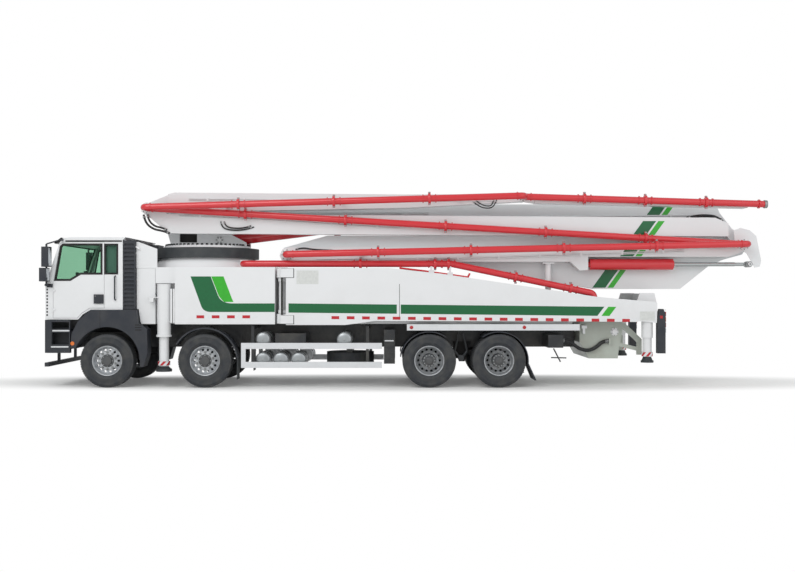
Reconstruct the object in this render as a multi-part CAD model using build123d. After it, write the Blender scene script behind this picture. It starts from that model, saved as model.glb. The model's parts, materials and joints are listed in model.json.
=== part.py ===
from build123d import *
import os
from math import cos, hypot, radians, sin, tan

# Truck-mounted concrete pump with a six-section boom, 8x4 chassis.
# Millimetres. +X points to the rear, -Y to the vehicle's left, +Z up.
# Ground is Z = 0, Y = 0 is the centreline and X = 0 is the middle of the machine's length,
# to 50 mm.

os.makedirs("parts", exist_ok=True)

# ---- driving dimensions -------------------------------------------------
front_x = -7358            # foremost face, the bumper
tip_x = 7260               # rearmost face, the end of the tip pipe
half_width = 1250          # body half width
axle_x = {"1": -6070, "2": -4110, "3": 390, "4": 1790}

tyre_r = 540
tyre_w = 300
tyre_bore_r = 290
rim_wall = 18
wheel_mid = 1085           # outer tyre's middle from the centreline
twin_pitch = 345           # outer to inner tyre
hub_r = 120
hose_x = (3080, 4050)      # the black hose's two ends
spindle_r = 50
kingpin_y = 900
kingpin_r = 32
running_fit = 0.08         # radial play of a shaft in its bore
seat_gap = 0.3             # between separate pieces that lie together
move_gap = 8               # between pieces that pass one another

rail_y = 430               # chassis rail's outer face
rail_w = 90
rail_low = 780
rail_top = 1080
rail_end = 3440
deck_low = 1275            # top of the subframe, under the deck
spare_x = -1250
spare_z = (360, 660)       # the spare wheel lies flat under the frame

engine_half = rail_y - rail_w - seat_gap

cab_front = -7310
pillar_top = (-7030, 2900)  # x and z of the windscreen pillar's top
screen_z = (2080, 2880)     # the windscreen's opening
screen_half = 1070
cab_rear = -5760
cab_half = 1200
cab_wall = 60
cab_low = 1368
cab_arch_z = 1564
cab_step_x = -6400         # behind this the cab's floor is at cab_arch_z
cab_top = 3020
glass_t = 8
door_gap = 6

slew_x = -4284
ring_r = 1076
ring_low = 2620
ring_top = 2830

# boom lanes, from the centreline towards the left side
lane_1 = (-250, 250)
lane_2 = (270, 545)
lane_3 = (560, 830)
pipe_r = 68
pipe_inner = 930           # line on sections 4 and 6
pipe_outer = 1130          # line on sections 3 and 5
clamp_r = 92
cheek_t = 80               # one cheek of a fork

# pin centres in the side view, stowed: x, z
root_pin = (-5028, 3600)
knee_1 = (6802, 2900)
knee_2 = (-2504, 2680)
knee_3 = (6830, 2890)
knee_4 = (-5373, 3630)
knee_5 = (2315, 3860)
tip_z = 3705
root_pin_r = 85
knee_1_r = 80
knee_2_r = 75
knee_3_r = 70
knee_4_r = 60
knee_5_r = 45
cyl_base_r = 60
cyl_base = (-3975, 3010)
cyl_eye = (-1249, 3350)


# ---- helpers ------------------------------------------------------------
def block(x, y, z):
    """A box from three (low, high) pairs."""
    size = (x[1] - x[0], y[1] - y[0], z[1] - z[0])
    middle = ((x[0] + x[1]) / 2, (y[0] + y[1]) / 2, (z[0] + z[1]) / 2)
    return Pos(*middle) * Box(*size)


def side_plate(outline, near, far):
    """A plate with an (x, z) outline between two distances left of the centreline."""
    corners = [(x, -near, z) for x, z in outline]
    face = make_face(Polyline(*corners, close=True))
    return extrude(face, amount=far - near, dir=(0, -1, 0))


def flat_plate(outline, z0, z1):
    """A plate with an (x, y) outline from z0 to z1."""
    corners = [(x, y, z0) for x, y in outline]
    return extrude(make_face(Polyline(*corners, close=True)), amount=z1 - z0, dir=(0, 0, 1))


def rod(start, end, radius):
    """A round bar between two points."""
    axis = Vector(*end) - Vector(*start)
    plane = Plane(origin=start, z_dir=axis)
    return extrude(plane * Circle(radius), amount=axis.length)


def pin(at, near, far, radius):
    """A crosswise pin at an (x, z) place, between two distances left of the centreline."""
    return rod((at[0], -near, at[1]), (at[0], -far, at[1]), radius)


def upright(x, y, z, radius):
    """A vertical round bar."""
    return rod((x, y, z[0]), (x, y, z[1]), radius)


def tube_along(points, radius, bend):
    """A round line along straight runs joined by arcs."""
    path = FilletPolyline(*points, radius=bend)
    start = Plane(origin=path @ 0, z_dir=path % 0)
    return sweep(start * Circle(radius), path=path)


def flip(shape):
    """The same piece on the other side of the vehicle."""
    return mirror(shape, about=Plane.XZ)


def both(shape):
    """A left piece and its right twin."""
    return [shape, flip(shape)]


def save(name, *pieces):
    """Writes one node; pieces are solids or lists of them."""
    solids = []
    for piece in pieces:
        for item in piece if isinstance(piece, list) else [piece]:
            solids += item.solids()
    shape = solids[0] if len(solids) == 1 else Compound(children=solids)
    export_step(shape, f"parts/{name}.step")


# ---- wheels, knuckles, axles ---------------------------------------------
def tyre(mid):
    """One tyre and its rim barrel about the Y axis, centred on mid."""
    half = tyre_w / 2
    shoulder = 45
    profile = [(-half + 30, tyre_bore_r), (-half, tyre_bore_r + 70), (-half, tyre_r - shoulder),
               (-half + shoulder, tyre_r), (half - shoulder, tyre_r), (half, tyre_r - shoulder),
               (half, tyre_bore_r + 70), (half - 30, tyre_bore_r)]
    ring = make_face(Polyline(*[(0, mid + y, r) for y, r in profile], close=True))
    rubber = revolve(ring, Axis.Y, 360)
    barrel_half = half - 30
    barrel = [(-barrel_half, tyre_bore_r - rim_wall), (-barrel_half, tyre_bore_r),
              (barrel_half, tyre_bore_r), (barrel_half, tyre_bore_r - rim_wall)]
    steel = revolve(make_face(Polyline(*[(0, mid + y, r) for y, r in barrel], close=True)), Axis.Y, 360)
    return rubber + steel


def wheel(x, twin):
    """A left wheel; a rear one is a twin on one hub."""
    centre = Pos(x, 0, tyre_r)
    shape = tyre(-wheel_mid)
    disc_y = -(wheel_mid + 20) if not twin else -(wheel_mid - 105)
    disc = rod((0, disc_y, 0), (0, disc_y + 16, 0), tyre_bore_r - rim_wall + 1)
    hub_in = -(wheel_mid - 60) if not twin else -(wheel_mid - twin_pitch - 40)
    hub_out = -(wheel_mid + 115)
    shape = shape + disc + rod((0, hub_in, 0), (0, hub_out, 0), hub_r)
    if twin:
        shape = shape + tyre(-(wheel_mid - twin_pitch))
        inner_disc_y = -(wheel_mid - twin_pitch + 105)
        shape = shape + rod((0, inner_disc_y, 0), (0, inner_disc_y - 16, 0), tyre_bore_r - rim_wall + 1)
    bore = rod((0, hub_in + 1, 0), (0, hub_out + 40, 0), spindle_r + running_fit)
    return centre * (shape - bore)


def spindle_end():
    """Where a spindle stops inside its hub."""
    return wheel_mid + 115 - 40 - 5


def knuckle(x):
    """A left steering knuckle: kingpin, two ears, upright and spindle."""
    post = upright(x, -kingpin_y, (tyre_r - 150, tyre_r + 150), kingpin_r)
    shape = post
    for low, high in ((-150, -115), (115, 150)):
        ear = block((x - 60, x + 60), (-kingpin_y - 105, -kingpin_y + 60), (tyre_r + low, tyre_r + high))
        shape = shape + ear
    outer = (-kingpin_y - 105, -kingpin_y - 72)
    shape = shape + block((x - 60, x + 60), outer, (tyre_r - 150, tyre_r + 150))
    return shape + rod((x, -kingpin_y - 80, tyre_r), (x, -spindle_end(), tyre_r), spindle_r)


def front_beam(x):
    """A forged front axle beam between two kingpin bosses, on leaf springs."""
    boss = upright(x, -kingpin_y, (tyre_r - 108, tyre_r + 108), 58)
    boss = boss - upright(x, -kingpin_y, (tyre_r - 120, tyre_r + 120), kingpin_r + running_fit)
    neck = block((x - 45, x + 45), (-kingpin_y + 50, -600), (tyre_r - 70, tyre_r + 50))
    drop = block((x - 55, x + 55), (-640, 0), (tyre_r - 150, tyre_r - 20))
    half = boss + neck + drop
    for leaf in range(3):
        reach = 620 - 110 * leaf
        low = tyre_r - 20 + 26 * (2 - leaf)
        half = half + block((x - reach, x + reach), (-rail_y, -rail_y + 80), (low, low + 26))
    perch = block((x - 70, x + 70), (-rail_y, -rail_y + 80), (tyre_r + 30, rail_low))
    half = half + perch
    return half + flip(half)


def rear_axle(x):
    """A drive axle: banjo housing, tube and the spindles inside the hubs."""
    tube = rod((x, -(wheel_mid - twin_pitch - 60), tyre_r), (x, wheel_mid - twin_pitch - 60, tyre_r), 85)
    shaft = rod((x, -spindle_end(), tyre_r), (x, spindle_end(), tyre_r), spindle_r)
    bowl = rod((x - 130, 0, tyre_r), (x + 130, 0, tyre_r), 200)
    return tube + shaft + bowl


def bogie():
    """The tandem's springs on a middle trunnion."""
    mid = (axle_x["3"] + axle_x["4"]) / 2
    span = (axle_x["3"] - 60, axle_x["4"] + 60)
    half = block(span, (-rail_y - 60, -rail_y + 30), (tyre_r + 86, tyre_r + 176))
    outline = [(mid - 190, rail_low + 120), (mid + 190, rail_low + 120), (mid + 60, tyre_r - 60),
               (mid - 60, tyre_r - 60)]
    half = half + side_plate(outline, rail_y + 0, rail_y + 60)
    half = half + rod((mid, 0, tyre_r + 20), (mid, -rail_y - 60, tyre_r + 20), 60)
    for name in ("3", "4"):
        seat = block((axle_x[name] - 80, axle_x[name] + 80), (-rail_y - 40, -rail_y + 20),
                     (tyre_r + 40, tyre_r + 90))
        half = half + seat
    return half + flip(half)


# ---- chassis --------------------------------------------------------------
def cab_floor_z(x):
    """The height of the cab's underside at a place along it."""
    return cab_low if x < cab_step_x else cab_arch_z


def chassis_frame():
    """Ladder frame with cross members, cab mounts and the boxes hung on it."""
    inner_y = rail_y - rail_w - seat_gap
    outer_y = rail_y + seat_gap
    rail_span = (-rail_y, -rail_y + rail_w)
    pieces = both(block((-6950, rail_end), rail_span, (rail_low, rail_top)))
    pieces += both(block((-5400, rail_end), rail_span, (rail_top + seat_gap, deck_low)))
    for x in (-6900, -5300, -3300, -2300, -900, 500, 1900, 3380):
        pieces.append(block((x - 50, x + 50), (-inner_y, inner_y), (rail_low + 60, rail_top - 62)))
    pieces.append(block((spare_x - 60, spare_x + 60), (-rail_y, rail_y),
                        (spare_z[1] + seat_gap, rail_low - seat_gap)))
    for x in (-6850, -5900):
        pieces += both(block((x - 60, x + 60), rail_span, (rail_top + seat_gap, cab_floor_z(x) - seat_gap)))
    # low x, high x, low z, high z of each box
    for low_x, high_x, low_z, high_z in ((-520, -300, 480, 1160), (-2700, -2090, 900, 1090),
                                         (2780, hose_x[0], 800, 1060)):
        pieces += both(block((low_x, high_x), (-1180, -outer_y), (low_z, high_z)))
    return pieces


def air_tank(x, z):
    """A lying air tank, its end facing the side, on the rail or hung under it."""
    if z > rail_low:
        return rod((x, -1120, z), (x, -rail_y - seat_gap, z), 150)
    tank = rod((x, -1120, z), (x, -rail_y + rail_w, z), 150)
    hanger = block((x - 40, x + 40), (-rail_y - 40, -rail_y + rail_w), (z + 100, rail_low - seat_gap))
    return tank + hanger


def side_guards():
    """Side rails, the rail over the rear wheels, air tanks."""
    pieces = []
    low_z, high_z, bar = 400, 780, 120
    frame = block((-3380, -560), (-1235, -1205), (low_z, low_z + bar))
    frame = frame + block((-3380, -560), (-1235, -1205), (high_z, high_z + bar))
    frame = frame + block((-3380, -3290), (-1235, -1205), (low_z, high_z + bar))
    for x in (-3150, -850):
        frame = frame + block((x - 30, x + 30), (-1206, -1175), (low_z, 1240))
        frame = frame + block((x - 30, x + 30), (-1176, -rail_y - seat_gap), (1180, 1240))
    top = block((-60, 3400), (-1230, -1190), (1150, deck_low))
    for x in (100, 1100, 2300, 3200):
        top = top + block((x - 30, x + 30), (-1191, -rail_y - seat_gap), (1180, 1240))
    pieces += both(frame) + both(top)
    for x, z in ((-2960, 960), (-1320, 960), (-2960, 560), (-2600, 560), (-2240, 560)):
        pieces += both(air_tank(x, z))
    return pieces


def mudguard(x, inner, thick, first, last, reach=(950, 1245)):
    """An arched guard over a wheel from the first to the last angle, in degrees from +X."""
    z = tyre_r
    ring = rod((x, -reach[0], z), (x, -reach[1], z), inner + thick)
    ring = ring - rod((x, -reach[0] + 1, z), (x, -reach[1] - 1, z), inner)
    far = 3 * inner
    middle = (first + last) / 2
    wedge = [(x, z)]
    for angle in (first, middle, last):
        wedge.append((x + far * cos(radians(angle)), z + far * sin(radians(angle))))
    return ring & side_plate(wedge, reach[0] - 5, reach[1] + 5)


# axle, inner radius, thickness, first and last angle
guard_sizes = (("2", 640, 28, 5, 150), ("3", 572, 18, 55, 172), ("4", 572, 18, -8, 125))


def mudguards():
    """Guards of axles 2 to 4 with stays to the frame, and the black tail panels."""
    pieces = []
    for name, inner, thick, first, last in guard_sizes:
        x = axle_x[name]
        near = 950 if name == "2" else 560
        guard = mudguard(x, inner, thick, first, last, (near, 1245))
        stay = rod((x, -near - 40, tyre_r + inner + 10), (x, -rail_y - seat_gap, tyre_r + inner + 10), 22)
        if name == "4":
            guard = guard + side_plate(flap, 600, 1240)
        pieces += both(guard + stay)
    return pieces + both(tail_panel())


flap = [(2354, 500), (2376, 500), (2535, 150), (2500, 150)]   # x and z of the rearmost mud flap
tail_x = (4965, 5120)


def tail_panel():
    """The left rear lamp panel on its bracket, which reaches the hopper's side."""
    outline = [(tail_x[0], 690), (tail_x[0], 1440), (tail_x[0] + 45, 1580), (tail_x[0] + 110, 1580),
               (tail_x[1], 1480), (tail_x[1], 690)]
    panel = side_plate(outline, 1080, 1235)
    return panel + block((tail_x[0], tail_x[0] + 25), (-1081, -hopper_half - seat_gap), (1400, 1460))


fender_top = cab_arch_z - seat_gap


def fender():
    """The cab's left wheel arch with its rear step panel."""
    x = axle_x["1"]
    outline = [(-6790, 800), (-6770, 1080), (-6640, 1340), (-6500, 1470), (-6380, fender_top),
               (-5480, fender_top), (-5440, 1290), (-5260, 1180), (-5250, 700), (-5330, 420),
               (-5400, 420), (-6690, 420), (-6690, 780)]
    shape = side_plate(outline, 940, half_width)
    shape = shape - rod((x, -900, tyre_r + 20), (x, -1300, tyre_r + 20), 660)
    shape = shape - block((-6690, -5400), (-1300, -900), (300, tyre_r + 20))
    shape = shape - block((-6800, -6600), (-1300, -900), (300, 800))
    return shape


# ---- cab --------------------------------------------------------------------
cab_outline = [(cab_front, cab_low), (cab_front, 2060), pillar_top, (-6960, cab_top - 20),
               (-6800, cab_top), (cab_rear + 60, cab_top), (cab_rear, cab_top - 60),
               (cab_rear, cab_arch_z), (cab_step_x, cab_arch_z), (-6560, 1470), (-6650, cab_low)]
cab_inside = [(cab_front + cab_wall, 1640), (cab_front + cab_wall, 2080), (-6998, 2880),
              (-6930, cab_top - cab_wall - 14), (-6800, cab_top - cab_wall),
              (cab_rear - cab_wall - 20, cab_top - cab_wall), (cab_rear - cab_wall, cab_top - cab_wall - 40),
              (cab_rear - cab_wall, 1640)]
door_outline = [(-7150, 1400), (-7150, 2110), (-7010, 2880), (-6960, 2920), (-6132, 2920), (-6132, 1600),
                (-6420, 1600), (-6580, 1500), (-6670, 1400)]
window_outline = [(-7105, 2168), (-6990, 2830), (-6950, 2868), (-6188, 2868), (-6188, 2294), (-6604, 2294),
                  (-6814, 2168)]
quarter_outline = [(-6110, 2294), (-6110, 2868), (-5870, 2868), (-5870, 2294)]


def grown(outline, by):
    """An outline moved outwards by a distance, corners kept sharp."""
    face = make_face(Polyline(*[(x, z) for x, z in outline], close=True))
    bigger = offset(face, amount=by, kind=Kind.INTERSECTION)
    return [(v.X, v.Y) for v in ordered(bigger)]


def ordered(face):
    """The corners of a face in order round its outer wire."""
    return [edge @ 0 for edge in face.faces()[0].outer_wire().order_edges()]


door_pin = (-7150, -cab_half - 5)  # the left door's hinge line, x and y
door_pin_r = 6
door_barrel_r = 12
hinge_z = (1520, 1900)     # low ends of its two hinges
hinge_part = 32            # each hinge has three barrels this long


def hinge_barrel(z, part, grow=0.0):
    """One barrel of a door hinge, or the room it needs, from its low end up."""
    low = z + hinge_part * part
    span = (low + seat_gap - grow, low + hinge_part - seat_gap + grow)
    return upright(*door_pin, span, door_barrel_r + grow)


def door_hinges_on_cab():
    """The cab's barrels with their pins, and the room for the door's barrels."""
    leaves = []
    rooms = []
    for z in hinge_z:
        for part in (0, 2):
            low = z + hinge_part * part
            leaf = block((door_pin[0] - 45, door_pin[0]), (door_pin[1] - 9, door_pin[1] + 6),
                         (low + seat_gap, low + hinge_part - seat_gap))
            leaves.append(leaf + hinge_barrel(z, part))
        leaves.append(upright(*door_pin, (z + 1, z + 3 * hinge_part - 1), door_pin_r))
        rooms.append(hinge_barrel(z, 1, 2))
    return leaves, rooms


def cab_shell():
    """The hollow cab with door, windscreen and quarter window openings."""
    shape = side_plate(cab_outline, -cab_half, cab_half)
    shape = shape - side_plate(cab_inside, -cab_half + cab_wall, cab_half - cab_wall)
    for near, far in ((cab_half - cab_wall - 1, cab_half + 1), (-cab_half - 1, -cab_half + cab_wall + 1)):
        shape = shape - side_plate(grown(door_outline, door_gap), near, far)
        shape = shape - side_plate(quarter_outline, near, far)
    leaves, rooms = door_hinges_on_cab()
    for room in rooms:
        shape = shape - room - flip(room)
    for leaf in leaves:
        shape = shape + leaf + flip(leaf)
    low, high = screen_z
    screen = [(cab_front - 100, low), (cab_front - 100, high), (-6950, high), (-7100, low)]
    return shape - side_plate(screen, -screen_half, screen_half)


def cab_glass():
    """Windscreen and quarter windows."""
    low, high = screen_z[0] + seat_gap, screen_z[1] - seat_gap
    foot, head = cab_front + 25, pillar_top[0] + 8
    screen = [(foot, low), (foot + glass_t, low), (head + glass_t, high), (head, high)]
    pieces = [side_plate(screen, -screen_half + seat_gap, screen_half - seat_gap)]
    pane = side_plate(grown(quarter_outline, -0.3), cab_half - 34, cab_half - 34 + glass_t)
    return pieces + both(pane)


def door():
    """The left door: a panel with its window cut and a bevelled hinge edge."""
    shape = side_plate(door_outline, cab_half - cab_wall, cab_half)
    shape = shape - side_plate(window_outline, cab_half - cab_wall - 1, cab_half + 1)
    front, depth = door_pin[0], -cab_half + cab_wall + 1
    edge = [(front - 1, -cab_half), (front - 1, depth), (front + cab_wall, depth)]
    shape = shape - flat_plate(edge, 1390, 2950)
    for z in hinge_z:
        shape = shape - hinge_barrel(z, 0, 2) - hinge_barrel(z, 2, 2)
        low = z + hinge_part
        leaf = block((door_pin[0], door_pin[0] + 45), (door_pin[1] - 9, door_pin[1] + 6),
                     (low + seat_gap, low + hinge_part - seat_gap))
        shape = shape + leaf + hinge_barrel(z, 1)
        shape = shape - upright(*door_pin, (z - 5, z + 3 * hinge_part + 5), door_pin_r + running_fit)
    handle = block((-6320, -6160), (-cab_half - 26, -cab_half + 1), (1700, 1860))
    return shape + handle


def door_glass():
    """The left door's pane."""
    return side_plate(grown(window_outline, -0.3), cab_half - 34, cab_half - 34 + glass_t)


def cab_interior():
    """Two seats, dashboard, steering wheel and bunk wall."""
    pieces = []
    floor = 1640.3
    for y in (-620, 620):
        seat = block((-6480, -5990), (y - 250, y + 250), (floor, 2080))
        seat = seat + block((-6080, -5940), (y - 250, y + 250), (2000, 2700))
        pieces.append(seat)
    dash_outline = [(cab_front + cab_wall + 0.3, floor), (cab_front + cab_wall + 0.3, 2060), (-6980, 2120),
                    (-6830, 2060), (-6900, 1800), (-7000, floor)]
    dash = side_plate(dash_outline, -1120, 1120)
    column = rod((-6880, -620, 1950), (-6700, -620, 2180), 30)
    wheel_plane = Plane(origin=(-6700, -620, 2180), z_dir=(-180, 0, -230))
    rim = wheel_plane * Torus(215, 18)
    spoke = wheel_plane * Box(430, 50, 20)
    pieces.append(dash + column + rim + spoke)
    return pieces


bumper_top = cab_low - move_gap
bumper_low = 700
step_wells = ((870, 1110), (1180, 1320))


def front_bumper():
    """Bumper, headlamp bank, steps and the underrun bar."""
    back = front_x + 110
    half_outline = [(front_x, 0), (front_x, -1080), (front_x + 40, -1200), (front_x + 120, -1245),
                    (-6800, -1245), (-6800, -1160), (back + 60, -1150), (back, -1000), (back, 0)]
    half = flat_plate(half_outline, bumper_low, bumper_top)
    for low, high in step_wells:
        half = half - block((back + 80, -6820), (-1300, -1100), (low, high))
        half = half + block((back + 60, -6810), (-1240, -1000), (low - 40, low))
    half = half + block((back - 1, -6820), (-1000, -960), (bumper_low + 100, 1200))
    shape = half + flip(half)
    shape = shape + block((back - 5, -6950), (-rail_y, rail_y), (bumper_low + 100, 1000))
    bar_x = (front_x + 15, front_x + 95)
    bar = block(bar_x, (-1150, 1150), (420, 500))
    for y in (-500, 500):
        bar = bar + block((bar_x[0] + 40, bar_x[1]), (y - 40, y + 40), (499, bumper_low + 80))
        bar = bar + block((bar_x[0] + 40, back + 20), (y - 40, y + 40), (bumper_low, bumper_low + 80))
    return shape + bar


mirror_stem_x = -7255
mirror_reach = 90          # from the cab's side out to the stem


def mirrors():
    """Two mirror heads a side on arms at the pillar."""
    root = -cab_half - seat_gap
    stem = -cab_half - mirror_reach
    arm = block((mirror_stem_x - 30, mirror_stem_x + 30), (stem - 20, root), (2040, 2080))
    arm = arm + block((-6985, -6945), (stem - 10, root), (2945, 2985))
    arm = arm + rod((-6965, stem + 5, 2965), (mirror_stem_x, stem + 5, 2880), 14)
    arm = arm + rod((mirror_stem_x, stem, 2060), (mirror_stem_x, stem, 2880), 20)
    head = block((-7300, -7165), (stem - 160, stem + 40), (2420, 2820))
    small = block((-7348, -7205), (stem - 150, stem + 40), (2130, 2400))
    return both(arm + head + small)


stack_x = (cab_rear + 8, -5515)
stack_z = (1570, 2960)


def intake_stacks():
    """Louvred stacks behind the cab."""
    low = stack_z[0]
    stack = block(stack_x, (-cab_half + 20, -700), stack_z)
    for i in range(16):
        z = low + 50 + 82 * i
        slot = block((stack_x[0] + 22, stack_x[1] - 22), (-cab_half + 19, -cab_half + 45), (z, z + 42))
        stack = stack - slot
    foot = block(stack_x, (-760, -rail_y + 10), (low - 270, low + 30))
    shank = (stack_x[0] + 52, stack_x[1] - 30)
    foot = foot + block(shank, (-500, -rail_y + 1), (rail_top + seat_gap, low - 250))
    return both(stack + foot)


# ---- superstructure ---------------------------------------------------------
body_top = 2420            # top of pedestal and cabinets
nose_x = -5505             # the pedestal's front, over the fender
nose_top = 2480
lug_top = 2600             # the lifting lugs on it
pipe_in_x = -3400          # where the delivery line enters the pedestal
pipe_z = 2495
arm_angle = 60             # front outrigger's line from the -X axis, degrees
jack_x = -4950
jack_y = 1110
arm_w = 200
arm_h = 240
arm_len = 2300
far_wall = 120             # what the beams' tunnels leave of the far cabinet
arm_low = {"left": 1480, "right": 1760}
sleeve_r = 135
leg_r = 98
foot_r = 155
foot_low = 320


def arm_line(distance, side=-1):
    """A point on the left front outrigger's line, this far back from its jack."""
    away = side * (jack_y - distance * sin(radians(arm_angle)))
    return (jack_x + distance * cos(radians(arm_angle)), away)


def tunnel(low):
    """The way through the body for the left beam at this height, shut by the far cabinet's wall."""
    end = (jack_y + half_width - far_wall) / sin(radians(arm_angle))
    return arm_prism(arm_w + 2 * move_gap, -2 * arm_w, end, low - move_gap, low + arm_h + move_gap)


def arm_prism(width, start, end, low, high):
    """A straight beam along the left front outrigger's line."""
    a = arm_line(start)
    b = arm_line(end)
    across = (sin(radians(arm_angle)) * width / 2, -cos(radians(arm_angle)) * width / 2)
    outline = [(a[0] + across[0], a[1] + across[1]), (b[0] + across[0], b[1] + across[1]),
               (b[0] - across[0], b[1] - across[1]), (a[0] - across[0], a[1] - across[1])]
    return flat_plate(outline, low, high)


def front_arm(low):
    """The left front outrigger beam with its jack sleeve."""
    beam = arm_prism(arm_w, 60, arm_len, low, low + arm_h)
    sleeve = upright(jack_x, -jack_y, (1020, 2080), sleeve_r)
    bore = upright(jack_x, -jack_y, (1000, 1960), leg_r + running_fit)
    flange = upright(jack_x, -jack_y, (1020, 1060), sleeve_r + 20)
    return (beam + sleeve + flange) - bore


def front_jack():
    """The left front leg and its foot."""
    leg = upright(jack_x, -jack_y, (430, 1900), leg_r)
    foot = upright(jack_x, -jack_y, (foot_low, foot_low + 50), foot_r)
    neck_low, neck_top = foot_low + 50, 431
    neck = Cone(foot_r - 20, leg_r - 20, neck_top - neck_low)
    return leg + foot + Pos(jack_x, -jack_y, (neck_low + neck_top) / 2) * neck


def pedestal():
    """The box under the slewing ring, with the crossing outrigger tunnels."""
    foot = deck_low + seat_gap
    shape = block((-5400, -2700), (-950, 950), (foot, body_top + 1))
    over = fender_top + 12
    outline = [(nose_x, over), (nose_x, nose_top), (-5350, nose_top), (-5285, lug_top), (-5215, lug_top),
               (-5130, nose_top), (-5130, foot), (-5405, foot), (-5430, foot + 45), (nose_x + 40, over)]
    wing = side_plate(outline, 940, 1095)
    wing = wing - block((-5360, -5120), (-1060, -939), (nose_top, lug_top + 1))
    eye = pin((-5250, lug_top - 45), 1050, 1100, 22)
    shape = shape + (wing - eye) + flip(wing - eye)
    shape = shape + block((nose_x, -5399), (-941, 941), (over, nose_top))
    cone_low = body_top + seat_gap
    cone = Pos(slew_x, 0, (cone_low + ring_low) / 2) * Cone(1120, ring_r - 90, ring_low - cone_low)
    inlet = block((pipe_in_x - 80, pipe_in_x + 80), (-760, -600), (body_top, pipe_z + 85))
    shape = shape + cone + inlet
    collar = upright(slew_x, 0, (ring_low - 1, ring_top - 20), ring_r - 90)
    shape = shape + collar
    gap = move_gap
    shape = shape - tunnel(arm_low["left"]) - flip(tunnel(arm_low["right"]))
    for y in (-jack_y, jack_y):
        shape = shape - upright(jack_x, y, (1200, 2500), sleeve_r + 20 + gap)
    for start, end in ((240, 420), (1700, 1900)):
        pad = arm_prism(arm_w - 40, start, end, arm_low["left"] - gap - 1, arm_low["left"] - seat_gap)
        shape = shape + pad
        pad = arm_prism(arm_w - 40, start, end, arm_low["right"] - gap - 1, arm_low["right"] - seat_gap)
        shape = shape + flip(pad)
    return shape


def ring_guard():
    """The rubber skirt round the slewing ring."""
    skirt = upright(slew_x, 0, (ring_low, ring_top), ring_r)
    return skirt - upright(slew_x, 0, (ring_low - 1, ring_top + 1), ring_r - 90 + seat_gap)


cabinet_x = (-4700, -2700)


def side_cabinets():
    """Closed cabinets along both sides of the pedestal."""
    half = block(cabinet_x, (-half_width, -950 - seat_gap), (deck_low, body_top))
    half = half - upright(jack_x, -jack_y, (1200, 2500), sleeve_r + 20 + move_gap)
    half = half - mudguard_room()
    left, right = tunnel(arm_low["left"]), flip(tunnel(arm_low["right"]))
    return [half - left - right, flip(half) - left - right]


def mudguard_room():
    """What the axle 2 guard needs under the cabinet."""
    x = axle_x["2"]
    return rod((x, -940, tyre_r), (x, -1300, tyre_r), 640 + 28 + 0.3)


step_x = -1250             # where the high tank ends and the low deck starts
deck_top = 1700
rest_x = 2850              # the post that section 3 lies over
section_3_low = 2539
arm_hinge_x = -2590
arm_hinge_y = 1125
hinge_pin_r = 40


def rear_arm():
    """The left rear outrigger: a deep side beam that swings out, with its jack sleeve."""
    outline = [(-2480, 1260), (-1300, 1260), (-700, 1340), (4700, 1330), (4940, 1300), (4950, 1700),
               (4930, 1720), (3980, 1800), (3700, 1830), (600, 2290), (-430, 2400), (-2480, 2400)]
    shape = side_plate(outline, 1000, half_width)
    lug_z = ((1290, 1480), (2210, 2390))
    for low, high in lug_z:
        shape = shape + block((arm_hinge_x, -2470), (-arm_hinge_y - 90, -arm_hinge_y + 90), (low, high))
        shape = shape + upright(arm_hinge_x, -arm_hinge_y, (low, high), 90)
        shape = shape - upright(arm_hinge_x, -arm_hinge_y, (low - 1, high + 1), hinge_pin_r + running_fit)
    sleeve = upright(4780, -jack_y, (1000, 1400), 112)
    shape = shape + sleeve
    return shape - upright(4780, -jack_y, (900, 1660), 90 + running_fit)


def rear_jack():
    """The left rear leg and its foot."""
    leg = upright(4780, -jack_y, (620, 1640), 90)
    foot = upright(4780, -jack_y, (500, 540), foot_r - 30)
    neck = Pos(4780, -jack_y, 580.5) * Cone(foot_r - 50, 70, 81)
    return leg + foot + neck


def arm_hinge_posts():
    """The pins and posts that hold the rear arms to the deck."""
    post = block((-2655, -2490), (-995, -900), (deck_low + seat_gap, body_top))
    ears = []
    for low, high in ((1490, 1560), (2130, 2200)):
        ears.append(block((arm_hinge_x - 60, -2500), (-arm_hinge_y, -960), (low, high))
                    + upright(arm_hinge_x, -arm_hinge_y, (low, high), 60))
    bar = upright(arm_hinge_x, -arm_hinge_y, (1285, 2395), hinge_pin_r)
    return post + ears[0] + ears[1] + bar


def deck():
    """Tanks and deck between the side beams, hinge posts and the boom's rest post."""
    posts = arm_hinge_posts()
    tank = block((-2650, step_x), (-960, 960), (deck_low + seat_gap, 2300)) + posts + flip(posts)
    pieces = [tank, block((step_x + seat_gap, 3300), (-960, 960), (deck_low + seat_gap, deck_top))]
    height = section_3_low - move_gap
    post = upright(rest_x, -695, (deck_top + seat_gap, height - 30), 60)
    pieces.append(post + block((rest_x - 120, rest_x + 120), (-790, -600), (height - 30, height)))
    return pieces


hopper_half = 850
hopper_wall = 40
hopper_top = 1715
# x and z: rim, rear wall, sump, front wall
hopper_outline = [(3560, hopper_top), (5040, hopper_top), (4990, 1400), (4330, 1290), (4250, 565),
                  (3660, 565), (3470, 900), (3470, 1250)]
hopper_inside = [(3620, hopper_top + 1), (4980, hopper_top + 1), (4945, 1435), (4290, 1326), (4210, 605),
                 (3690, 605), (3515, 915), (3515, 1245)]
collar_back = (4960, 5000)
collar_top = 1900


def hopper():
    """The open hopper with its lugs on the frame and the hose's socket."""
    shape = side_plate(hopper_outline, -hopper_half, hopper_half)
    inner_half = hopper_half - hopper_wall
    shape = shape - side_plate(hopper_inside, -inner_half, inner_half)
    lug = block((rail_end + seat_gap, 3590), (-rail_y, -rail_y + rail_w), (1100, 1240))
    socket = block((hose_x[1], hose_x[1] + 30), (-950, -hopper_half + 1), (860, 980))
    return shape + lug + flip(lug) + socket


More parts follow.
